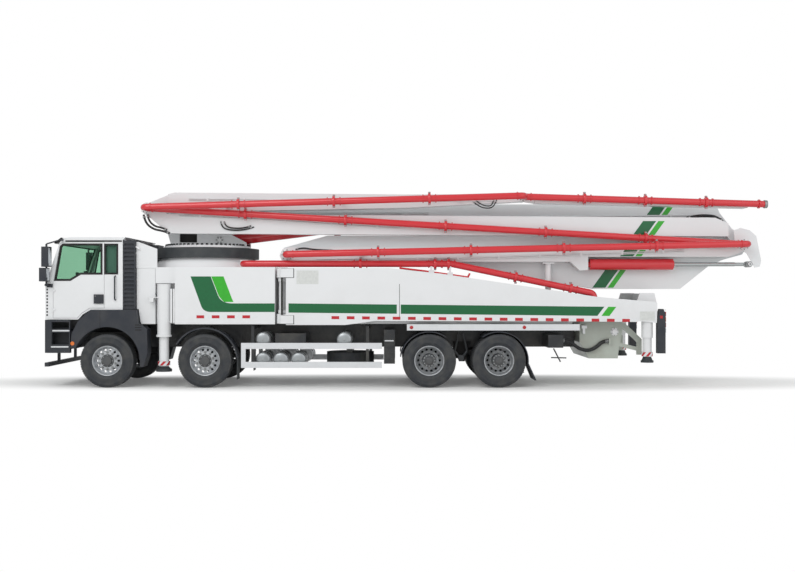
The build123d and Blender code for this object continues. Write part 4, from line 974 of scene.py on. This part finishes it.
def splineLength(points, steps=400):
    # length of the curve through the space that the points turn round, worked out by the same rule
    count = len(points)
    knots = [0.0] * 3 + [float(i) for i in range(1, count - 2)] + [float(count - 2)] * 3
    total, last = 0.0, None
    for step in range(steps + 1):
        t = min(knots[-1] * step / steps, knots[-1] - 1e-9)
        k = max(i for i in range(2, count) if knots[i] <= t)
        layer = [Vector(points[k - 2 + j]) for j in range(3)]
        for r in (1, 2):
            for j in range(2, r - 1, -1):
                low = knots[k - 2 + j]
                share = (t - low) / (knots[j + 1 + k - r] - low)
                layer[j] = layer[j - 1] * (1 - share) + layer[j] * share
        if last is not None:
            total += (layer[2] - last).length
        last = layer[2]
    return total


def makeReturnHose(style):
    points = [(x, style["across"], z) for x, z in style["route"]]
    hose = hoseAlong("returnHose", points, style["radius"], "chassis", hoseRubber)
    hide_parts("return_hose")
    splineLength(points)
    bm = bmesh.new()
    for end, way in ((points[0], 1), (points[-1], -1)):
        for along in (0.022, 0.058):
            latheInto(bm, [(0.0382, -0.008), (0.043, -0.008), (0.043, 0.008), (0.0382, 0.008)],
                      Vector(end) + Vector((way * along, 0, 0)), (1, 0, 0), 32, 0, True)
    makePiece("hoseClips", bm, [zincSteel], "chassis")


makeReturnHose(returnHose)
print("return hose made")


# ---- boom: couplings, pins and pipes ----
tipEnd = Vector((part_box("pipe_6")[1][0], 0, 3.705))
boomLines = (  # body, first knee, last knee, distance from the middle, clamps
    ("boom_3", pivot("knee_2"), pivot("knee_3"), 1.130, 4),
    ("boom_4", pivot("knee_3"), pivot("knee_4"), 0.930, 5),
    ("boom_5", pivot("knee_4"), pivot("knee_5"), 1.130, 3),
    ("boom_6", pivot("knee_5"), tipEnd, 0.930, 3),
)
coupling = {"ring": 0.104, "half": 0.027, "side": 0.086, "sideAt": 0.128, "kneeCollar": 0.081, "bolt": 0.024}


def collarInto(bm, place, along, radius):
    # a ring welded round a line
    latheInto(bm, [(0.066, -0.012), (radius, -0.010), (radius, 0.010), (0.066, 0.012)], place, along, 32, 0)


def couplingInto(bm, place, along, style):
    # a two-part clamp with its bolt lugs, and the welded collar on either side of it
    along = Vector(along).normalized()
    ring, half = style["ring"], style["half"]
    latheInto(bm, [(0.066, -half), (ring - 0.004, -half), (ring, -half + 0.006), (ring, half - 0.006),
                   (ring - 0.004, half), (0.066, half)], place, along, 32, 0)
    for sign in (-1, 1):
        collarInto(bm, place + along * sign * style["sideAt"], along, style["side"])
        lug = place + Vector((0, 0, sign * (ring + 0.010)))
        turn = Matrix.Translation(lug)
        boxInto(bm, (-half + 0.004, -0.020, -0.018), (half - 0.004, 0.020, 0.018), 0, turn)
        boltInto(bm, lug + Vector((0, -0.020, 0)), (0, -1, 0), style["bolt"], 1)


def makeCouplings(style):
    for body, start, end, across, count in boomLines:
        bm = bmesh.new()
        along = Vector((end.x - start.x, 0, end.z - start.z))
        for i in range(count):
            share = (i + 1) / (count + 1)
            place = Vector((start.x, -across, start.z)) + along * share
            couplingInto(bm, place, along, style)
        for knee in (start, end):
            # the collar where the line turns in to the knee
            if knee is tipEnd:
                continue
            inward = along if knee is start else -along
            place = Vector((knee.x, -across, knee.z)) + inward.normalized() * 0.150
            collarInto(bm, place, along, style["kneeCollar"])
        makePiece(f"pipeCouplings_{body}", bm, [redPaint, zincSteel], body, sharp=40)
    bm = bmesh.new()
    first, last = pivot("boom_lift"), Vector((6.200, 0, 3.480))
    along = Vector((last.x - first.x, 0, last.z - first.z))
    for x in (-3.0, -0.5, 2.0, 4.5):
        place = Vector((x, 0.440, first.z + along.z / along.x * (x - first.x)))
        couplingInto(bm, place, along, style)
    makePiece("pipeCouplings_boom_1", bm, [redPaint, zincSteel], "boom_1", sharp=40)
    # the free end: flange, gasket and the cap that keeps dirt out
    bm = bmesh.new()
    tip = Vector((tipEnd.x, -0.930, tipEnd.z))
    latheInto(bm, [(0.068, -0.060), (0.084, -0.058), (0.084, -0.034), (0.074, -0.030), (0.074, -0.012),
                   (0.080, -0.010), (0.080, -0.001), (0, -0.001)], tip, (1, 0, 0), 32, 0)
    makePiece("tipFlange", bm, [zincSteel], "boom_6", sharp=40)


makeCouplings(coupling)

# knee, body that holds its pin, Y of the face, radius of the flange
pinFlanges = (("knee_2", "boom_2", -0.8305, 0.118), ("knee_3", "boom_3", -0.8505, 0.112),
              ("knee_4", "boom_4", -0.8305, 0.104), ("knee_5", "boom_5", -0.8305, 0.084))


def makePinFlanges():
    for knee, body, face, radius in pinFlanges:
        bm = bmesh.new()
        place = pivot(knee)
        centre = Vector((place.x, face, place.z))
        bore = radius - 0.030
        latheInto(bm, [(bore, 0), (radius, 0), (radius, 0.008), (radius - 0.004, 0.011), (bore, 0.011)],
                  centre, (0, -1, 0), 40, 0, True)
        for x, z in around(8, radius - 0.014):
            boltInto(bm, centre + Vector((x, -0.011, z)), (0, -1, 0), 0.018, 1)
        makePiece(f"pinFlange_{knee}", bm, [boomPaint, zincSteel], body, sharp=40)
    # the lift cylinder's and the root's pins, on both cheeks of the turret
    bm = bmesh.new()
    for name, radius in (("boom_lift", 0.110), ("lift_barrel_tilt", 0.082)):
        place = pivot(name)
        for sign in (-1, 1):
            centre = Vector((place.x, sign * 0.3505, place.z))
            latheInto(bm, [(0, 0), (radius, 0), (radius, 0.008), (radius - 0.005, 0.012), (0, 0.012)], centre,
                      (0, sign, 0), 36, 0)
            for x, z in around(6, radius * 0.72):
                boltInto(bm, centre + Vector((x, sign * 0.012, z)), (0, sign, 0), 0.026, 1)
    makePiece("turretPinCaps", bm, [whitePaint, zincSteel], "turret", sharp=40)


makePinFlanges()


boomHydraulics = (  # body, Y of the section's face, radius, spacing, (x, z) run of the lowest tube, tubes
    ("boom_1", -0.250, 0.011, 0.034, ((0.970, 3.405), (3.400, 3.405), (5.920, 3.430)), 4),
    ("boom_1", -0.250, 0.011, 0.034, ((-4.300, 3.600), (-2.400, 3.560), (0.400, 3.560)), 2),
    ("boom_4", -0.830, 0.010, 0.030, ((-4.700, 3.475), (-3.000, 3.400), (-0.200, 3.215)), 2),
    ("boom_3", -0.830, 0.010, 0.030, ((-1.900, 2.560), (1.400, 2.600), (5.600, 2.740)), 2),
    ("boom_5", -0.830, 0.009, 0.026, ((-4.500, 3.800), (-1.500, 3.770), (1.700, 3.790)), 2),
)


def makeBoomHydraulics():
    for number, (body, face, radius, step, run, tubes) in enumerate(boomHydraulics):
        bm = bmesh.new()
        y = face - radius - 0.004
        for tube in range(tubes):
            points = [(x, y, z + tube * step) for x, z in run]
            first, last = [(x, face + 0.001, z) for x, _, z in (points[0], points[-1])]
            makeRail(bm, [first] + points + [last], radius, 8)
        for (x0, z0), (x1, z1) in zip(run, run[1:]):
            clips = max(2, int(abs(x1 - x0) / 0.75))
            for i in range(clips):
                share = (i + 0.5) / clips
                x, z = x0 + (x1 - x0) * share, z0 + (z1 - z0) * share
                boxInto(bm, (x - 0.022, y - radius - 0.005, z - 0.020),
                        (x + 0.022, face + 0.0005, z + (tubes - 1) * step + 0.020), 1)
        makePiece(f"hydraulicTubes_{body}_{number}", bm, [boomPaint, boomPaint], body, sharp=50)


makeBoomHydraulics()

kneeHoses = (  # name, body, radius, points: stiff hoses clipped to one section
    ("knee4a", "boom_4", 0.022, [(-5.430, -0.856, 3.500), (-5.400, -0.866, 3.340), (-5.230, -0.866, 3.200),
                                 (-5.040, -0.866, 3.170), (-4.900, -0.836, 3.120)]),
    ("knee4b", "boom_4", 0.020, [(-5.350, -0.856, 3.500), (-5.330, -0.864, 3.380), (-5.200, -0.864, 3.260),
                                 (-5.060, -0.864, 3.235), (-4.960, -0.836, 3.190)]),
    ("loop4a", "boom_4", 0.014, [(-3.860, -0.832, 3.360), (-3.840, -0.850, 3.240), (-3.660, -0.850, 3.178),
                                 (-3.350, -0.850, 3.186), (-3.180, -0.832, 3.250)]),
    ("loop4b", "boom_4", 0.014, [(-3.790, -0.832, 3.360), (-3.770, -0.850, 3.270), (-3.620, -0.850, 3.222),
                                 (-3.370, -0.850, 3.225), (-3.240, -0.832, 3.275)]),
    ("knee2", "boom_3", 0.016, [(-2.330, -0.831, 2.790), (-2.200, -0.850, 2.830), (-1.980, -0.850, 2.790),
                                (-1.700, -0.850, 2.775), (-1.560, -0.831, 2.770)]),
    ("knee5a", "boom_5", 0.012, [(1.270, -0.832, 3.800), (1.400, -0.850, 3.660), (1.640, -0.850, 3.620),
                                 (1.740, -0.850, 3.700), (1.780, -0.832, 3.800)]),
    ("knee5b", "boom_5", 0.012, [(1.320, -0.832, 3.820), (1.450, -0.850, 3.700), (1.640, -0.850, 3.665),
                                 (1.700, -0.850, 3.730), (1.720, -0.832, 3.820)]),
    ("knee3a", "boom_4", 0.032, [(5.700, -0.695, 3.440), (5.860, -0.695, 3.484), (6.180, -0.695, 3.494),
                                 (6.330, -0.695, 3.455), (6.440, -0.695, 3.372)]),
)


def makeKneeHoses():
    for name, body, radius, points in kneeHoses:
        bm = bmesh.new()
        dense = []
        for a, b, c in zip(points, points[1:], points[2:]):
            start = (Vector(a) + Vector(b)) / 2 if a is not points[0] else Vector(a)
            end = (Vector(b) + Vector(c)) / 2 if c is not points[-1] else Vector(c)
            dense += [Vector(p) for p in curvePoints(start, b, end, 6)]
        spaced = [dense[0]]
        for place in dense[1:]:
            if (place - spaced[-1]).length > 0.004:
                spaced.append(place)
        makeRail(bm, spaced, radius, 12, 0)
        for index in (1, -2):
            place = spaced[index]
            along = place - spaced[index - 1]
            latheInto(bm, [(radius * 0.9, -0.018), (radius * 1.35, -0.016), (radius * 1.35, 0.016),
                           (radius * 0.9, 0.018)], place, along, 12, 1)
        makePiece(f"kneeHose_{name}", bm, [hoseRubber, zincSteel], body, sharp=60)


makeKneeHoses()


def makeSectionDetails():
    # gland and flange of the knuckle cylinder
    bm = bmesh.new()
    low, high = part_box("knuckle_cylinder")
    z = (low[2] + high[2]) / 2
    y = (low[1] + high[1]) / 2
    latheInto(bm, [(0.030, -0.060), (0.086, -0.056), (0.092, -0.040), (0.092, 0.0), (0.080, 0.012),
                   (0.030, 0.014)], (5.415, y, z), (1, 0, 0), 32, 0)
    barInto(bm, (5.428, y, z), (6.680, y, z), 0.042, 28, 1)
    makePiece("cylinderGland", bm, [redPaint, chromeRod], "boom_3", sharp=40)
    # the crank's pin cap with its bolt
    bm = bmesh.new()
    face = -0.8502
    latheInto(bm, [(0, 0), (0.040, 0), (0.040, 0.008), (0.034, 0.012), (0, 0.012)],
              (high[0] - 0.060, face, z), (0, -1, 0), 28, 0)
    boltInto(bm, (high[0] - 0.060, face - 0.012, z), (0, -1, 0), 0.022, 1)
    makePiece("crankPinCap", bm, [boomPaint, zincSteel], "boom_3", sharp=40)
    # turret: painted shade, a dark plate inside the lightening hole; bolts of the slewing ring
    bm = bmesh.new()
    for sign in (-1, 1):
        boxesInto(bm, sign, [(-4.840, -4.420, 0.268, 0.276, 2.940, 3.200, 0)])
    makePiece("turretHolePaintedShade", bm, [seamBlackAndPaintedShade], "turret")
    bm = bmesh.new()
    slewPlace = pivot("slew")
    for x, y in around(56, 0.862, 0.5):
        boltInto(bm, (slewPlace.x + x, slewPlace.y + y, 2.8802), (0, 0, 1), 0.050, 0, 0.042)
    makePiece("slewRingBolts", bm, [framePaint], "turret", sharp=40)


makeSectionDetails()
print("boom fittings made")


# ---- outriggers ----
def hatchInto(bm, centre, radius, low, high, stripes=12):
    # slanting red and white bands round a leg
    steps = stripes * 3
    rings = []
    for level in range(9):
        z = low + (high - low) * level / 8
        ring = around(steps, radius, 1.2 * 3 * level / 8)
        rings.append([bm.verts.new((centre[0] + x, centre[1] + y, z)) for x, y in ring])
    for lower, upper in zip(rings, rings[1:]):
        for i in range(steps):
            j = (i + 1) % steps
            face = bm.faces.new([lower[i], lower[j], upper[j], upper[i]])
            face.material_index = (i // 3) % 2


# end; radius, low and high z of the hatch; the foot pad's radius and thickness; height and radius of its cone
jackLegs = (("front", 0.122, 0.447, 0.530, 0.157, 0.050, 0.112, 0.080),
            ("rear", 0.112, 0.628, 0.712, 0.127, 0.040, 0.122, 0.073))


def makeJacks():
    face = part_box("side_cabinets")[1][1]
    skin, proud = face + 0.0015, face + 0.008
    for side, sign in sides:
        for end, radius, low, high, foot, thick, cone, neck in jackLegs:
            body = f"{end}_jack_{side}"
            boxLow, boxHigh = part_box(body)
            centre = ((boxLow[0] + boxHigh[0]) / 2, (boxLow[1] + boxHigh[1]) / 2)
            bm = bmesh.new()
            hatchInto(bm, centre, radius, low, high)
            within, under = radius - 0.020, radius - 0.0016
            latheInto(bm, [(within, low), (under, low), (under, high), (within, high)], (*centre, 0),
                      (0, 0, 1), 36, 1)
            makePiece(f"legHatch_{body}", bm, [tapeRed, tapeWhite], body, sharp=30)
            # black pad that the foot stands in
            bm = bmesh.new()
            latheInto(bm, [(foot - 0.006, 0.001), (foot, 0.004), (foot, thick + 0.002),
                           (foot - 0.016, thick + 0.005), (neck + 0.004, cone), (neck - 0.004, cone + 0.001)],
                      (*centre, boxLow[2]), (0, 0, 1), 40, 0)
            makePiece(f"footPad_{body}", bm, [skirtRubber], body, sharp=40)
        # hose bracket on top of the front sleeve, with its small valve box
        makeBoxes(f"jackBracket_{side}", [whitePaint], f"front_arm_{side}", 0.003, sign,
                  [(-5.250, -4.935, 1.060, 1.235, 1.802, 1.816, 0),
                   (-5.215, -5.135, 1.140, 1.235, 1.722, 1.802, 0)])
        # nested covers beside the front outrigger, with a dark strip painted as the shade in the gap between
        # them
        makeBoxes(f"outriggerCovers_{side}", [whitePaint, seamBlackAndPaintedShade], "chassis", 0.004, sign,
                  [(-4.796, -4.756, 1.150, 1.240, 1.300, 1.985, 0),
                   (-4.742, -4.706, 1.150, 1.240, 1.300, 1.985, 0),
                   # painted shade: dark strip in the gap between the covers
                   (-4.757, -4.741, 1.160, 1.222, 1.310, 1.975, 1),
                   (-4.794, -4.7005, 1.100, 1.152, 1.320, 1.960, 0)])
        # rear arm: a dark strip painted as the shade in the hinge's gap, lugs with dark outlines painted as
        # their shadow, and the seam of its long panel
        boxes = [(-2.580, -2.540, face, skin, 1.462, 2.205, 0),
                 (-0.213, -0.204, face, skin, 1.400, 2.080, 0)]
        for z0, z1 in ((2.212, 2.386), (1.286, 1.450)):
            # each lug's dark backing, a little bigger than the lug, is its painted shadow
            boxes += [(-2.580, -2.316, face, skin, z0 - 0.010, z1 + 0.004, 0),
                      (-2.585, -2.330, face, proud, z0, z1, 1)]
        makeBoxes(f"armPanel_{side}", [seamBlackAndPaintedShade, whitePaint], f"rear_arm_{side}", 0.002, sign, boxes)


makeJacks()


def makeDeckLine():
    # clamps on the delivery line along the deck, and the thin return line under it
    y = -0.925
    bm = bmesh.new()
    for x, z, along in ((-1.000, 2.495, (1, 0, 0)), (0.517, 2.495, (1, 0, 0)), (0.789, 2.495, (1, 0, 0)),
                        (2.152, 2.2235, (2.9, 0, -0.605)), (3.271, 1.990, (2.9, 0, -0.605))):
        couplingInto(bm, Vector((x, y, z)), along, coupling)
    makePiece("deckLineClamps", bm, [redPaint, zincSteel], "chassis", sharp=40)
    bm = bmesh.new()
    run = ((-0.190, 2.440), (-0.190, 2.405), (0.300, 2.345), (1.180, 2.222), (1.220, 2.300))
    makeRail(bm, [(x, -0.965, z) for x, z in run], 0.020, 12, 0)
    for x in (0.440, 0.820):
        z = 2.345 - (x - 0.300) * 0.140
        boxInto(bm, (x - 0.020, -0.990, z - 0.030), (x + 0.020, -0.940, 2.440), 1)
        boxInto(bm, (x - 0.055, -0.994, z - 0.034), (x + 0.055, -0.9902, z + 0.045), 1)
    makePiece("thinDeckLine", bm, [redPaint, whitePaint], "chassis", sharp=50)


makeDeckLine()
print("outriggers made")


# ---- undercarriage ----
tankPlaces = ((-2.960, 0.960), (-1.320, 0.960), (-2.960, 0.560), (-2.600, 0.560), (-2.240, 0.560))
tankStyle = {"radius": 0.150, "face": 1.120, "bulge": 0.045}


def makeUndercarriage(style):
    r = style["radius"]
    dome = [(r, 0.0), (r * 0.985, 0.012), (r * 0.90, 0.026), (r * 0.70, 0.037), (r * 0.40, 0.043),
            (0, style["bulge"])]
    strap = [(r + 0.0005, -0.018), (r + 0.005, -0.018), (r + 0.005, 0.018), (r + 0.0005, 0.018)]
    for side, sign in sides:
        bm = bmesh.new()
        for x, z in tankPlaces:
            latheInto(bm, dome, (x, sign * style["face"], z), (0, sign, 0), 36, 0)
            latheInto(bm, [(0, 0.040), (0.018, 0.040), (0.018, 0.056), (0.011, 0.060), (0, 0.060)],
                      (x, sign * style["face"], z), (0, sign, 0), 6, 1)
            # the two straps round it
            for inner in (0.18, 0.52):
                latheInto(bm, strap, (x, sign * (style["face"] - inner), z), (0, sign, 0), 36, 2, True)
        makePiece(f"tankEnds_{side}", bm, [tankAluminium, zincSteel, framePaint], "chassis", sharp=40)
        # rungs on the dark ladder box, one of them made bright aluminium as a painted highlight; reflectors on
        # the rail
        uprights = [(x - 0.008, x + 0.008, 1.1605, 1.185, 0.500, 1.140, 0) for x in (-0.510, -0.318)]
        # painted highlight: the fourth rung takes bright aluminium, the others black enamel
        rungs = [(-0.505, -0.315, 1.1605, 1.185, 0.555 + 0.125 * row, 0.577 + 0.125 * row, int(row == 3))
                 for row in range(5)]
        makeBoxes(f"ladder_{side}", [framePaint, railAluminium], "chassis", 0.002, sign, rungs + uprights)
        bm = bmesh.new()
        for x in (0.032, 2.292):
            latheInto(bm, [(0, 0), (0.036, 0), (0.036, 0.006), (0.030, 0.010), (0, 0.011)],
                      (x, sign * 1.2302, 1.212), (0, sign, 0), 28, 0)
        makePiece(f"sideReflectors_{side}", bm, [redLens], "chassis", sharp=40)
        # rubber flap that hangs behind the second wheel
        bm = bmesh.new()
        prismInto(bm, [(-3.462, 0.610), (-3.448, 0.610), (-3.452, 0.170), (-3.464, 0.170)],
                  sign * 0.955, sign * 1.240, 0)
        makePiece(f"mudFlap_2_{side}", bm, [skirtRubber], "chassis", bevel=0.003)
        # torque rods of the bogie between the rear wheels
        bm = bmesh.new()
        for top, foot in ((1.010, 0.935), (1.110, 1.185)):
            barInto(bm, (top, sign * 0.640, 1.060), (foot, sign * 0.640, 0.700), 0.022, 14, 0)
            barInto(bm, (foot, sign * 0.640, 0.700), (1.060, sign * 0.640, 0.545), 0.026, 14, 0)
        barInto(bm, (1.060, sign * 0.470, 0.560), (1.060, sign * 0.680, 0.560), 0.062, 24, 0)
        makePiece(f"bogieBracket_{side}", bm, [hubPaint], "chassis", sharp=50)


makeUndercarriage(tankStyle)


def makeTail():
    back = 5.120
    lamps = [(back - 0.001, back + 0.014, 1.095, 1.220, z - 0.045, z + 0.045, finish)
             for z, finish in ((1.480, 0), (1.370, 1), (1.260, 0), (1.150, 2))]
    for side, sign in sides:
        makeBoxes(f"tailLamps_{side}", [redLens, orangeLens, clearLens], "chassis", 0.004, sign,
                  lamps + [(5.005, 5.062, 1.2345, 1.243, 1.388, 1.446, 0)])
        bm = bmesh.new()
        for z in (0.740, 0.800, 0.980, 1.560):
            for y in (sign * 1.110, sign * 1.205):
                barInto(bm, (back, y, z), (back + 0.004, y, z), 0.010, 10, 0)
        makePiece(f"tailScrews_{side}", bm, [zincSteel], "chassis")


makeTail()


agitator = {"x": 4.180, "z": 1.110, "face": 0.8503, "circle": 0.069, "bolts": 6}


def makeHopperFittings(style):
    # agitator's bearing flange on either side, the hopper's front brackets, the step under the hose's box
    face = style["face"]
    for side, sign in sides:
        bm = bmesh.new()
        latheInto(bm, [(0, 0), (0.082, 0), (0.082, 0.014), (0.056, 0.018), (0.056, 0.042), (0.048, 0.050),
                       (0, 0.050)], (style["x"], sign * face, style["z"]), (0, sign, 0), 36, 0)
        for x, z in around(style["bolts"], style["circle"], 0.5):
            boltInto(bm, (style["x"] + x, sign * (face + 0.014), style["z"] + z), (0, sign, 0), 0.016, 1)
        boxesInto(bm, sign, [(3.490, 3.600, face, 0.960, 1.180, 1.240, 0),
                             (3.520, 3.570, face, 0.930, 1.070, 1.180, 0)])
        makePiece(f"hopperFittings_{side}", bm, [whitePaint, zincSteel], "chassis", bevel=0.003)
    bm = bmesh.new()
    barInto(bm, (2.930, -0.900, 0.770), (3.070, -0.900, 0.500), 0.014, 10, 0)
    barInto(bm, (2.880, -0.900, 0.585), (3.190, -0.900, 0.578), 0.012, 10, 0)
    makePiece("stepUnderBox", bm, [framePaint], "chassis", sharp=50)


makeHopperFittings(agitator)
print("undercarriage and tail made")


# ---- cab details ----
mirrorGlass = metalFinish("silveredMirrorGlass", "d5dade", rough=0.03, scratch=0.2, spots=0.0)


def makeCabDetails(style):
    near = style["side"]
    for side, sign in sides:
        # gutter over the door, steps' bright edges
        makeBoxes(f"roofGutter_{side}", [seamBlackAndPaintedShade], "chassis", 0.003, sign,
                  [(-6.905, -5.775, near, near + 0.012, 2.928, 2.956, 0)])
        makeBoxes(f"stepEdges_{side}", [railAluminium], "chassis", 0.003, sign,
                  [(-7.150, -6.810, 1.240, 1.253, 1.131, 1.159, 0),
                   (-7.180, -6.830, 1.240, 1.253, 0.808, 0.836, 0)])
        # fender: seam and the three slots
        makeBoxes(f"fenderSlots_{side}", [seamBlackAndPaintedShade], "chassis", 0.0, sign,
                  [(-6.202, -6.195, 1.249, 1.2515, 1.215, 1.548, 0)]
                  + [(-5.500, -5.368, 1.249, 1.2515, z, z + 0.020, 0) for z in (1.150, 1.200, 1.250)])
        # dark pane behind the quarter window
        makeBoxes(f"quarterBlind_{side}", [blindCloth], "chassis", 0.0, sign,
                  [(-6.128, -5.852, 1.132, 1.1385, 2.276, 2.886, 0)])
        # mirror glass in the heads' rear faces
        makeBoxes(f"mirrorGlass_{side}", [mirrorGlass], "chassis", 0.0, sign,
                  [(x - 0.001, x + 0.0025, 1.268, 1.434, low, high, 0)
                   for x, low, high in ((-7.165, 2.440, 2.800), (-7.205, 2.148, 2.382))])
        # arm at the mirrors' foot, dark plate above the outrigger's sleeve
        makeBoxes(f"mirrorFoot_{side}", [blackPlastic], "chassis", 0.004, sign,
                  [(-7.278, -7.160, near, near + 0.020, 2.012, 2.085, 0),
                   (-5.125, -5.020, 1.119, 1.124, 1.862, 1.890, 0)])
        # fairing between the stack and the pedestal, and the flat wall over the outrigger
        bm = bmesh.new()
        prismInto(bm, [(-5.512, 2.400), (-5.512, 2.930), (-5.470, 2.930), (-5.090, 2.790), (-5.090, 2.400)],
                  sign * 1.104, sign * 1.084, 0)
        boxesInto(bm, sign, [(-5.120, -4.702, 1.100, 1.1185, 2.095, 2.419, 0)])
        makePiece(f"sideFairing_{side}", bm, [whitePaint], "chassis", bevel=0.004)


steering = {"centre": (-6.760, -0.620, 2.080), "axis": (-0.55, 0, 0.83), "radius": 0.205, "steps": 28}


def makeSteeringWheel(style):
    # the driver's wheel, seen through the windows
    axis = Vector(style["axis"]).normalized()
    centre = Vector(style["centre"])
    side = axis.orthogonal().normalized()
    up = axis.cross(side)
    ring = [centre + side * a + up * b for a, b in around(style["steps"], style["radius"])]
    bm = bmesh.new()
    for one, two in zip(ring, ring[1:] + ring[:1]):
        barInto(bm, one, two, 0.013, 8, 0)
    for i in (0, 9, 19):
        barInto(bm, centre, ring[i], 0.011, 8, 0)
    barInto(bm, centre - axis * 0.04, centre + axis * 0.02, 0.045, 16, 0)
    makePiece("steeringWheelRim", bm, [trimPlastic], "chassis", sharp=60)


makeCabDetails(cab)
makeSteeringWheel(steering)
print("cab details made")
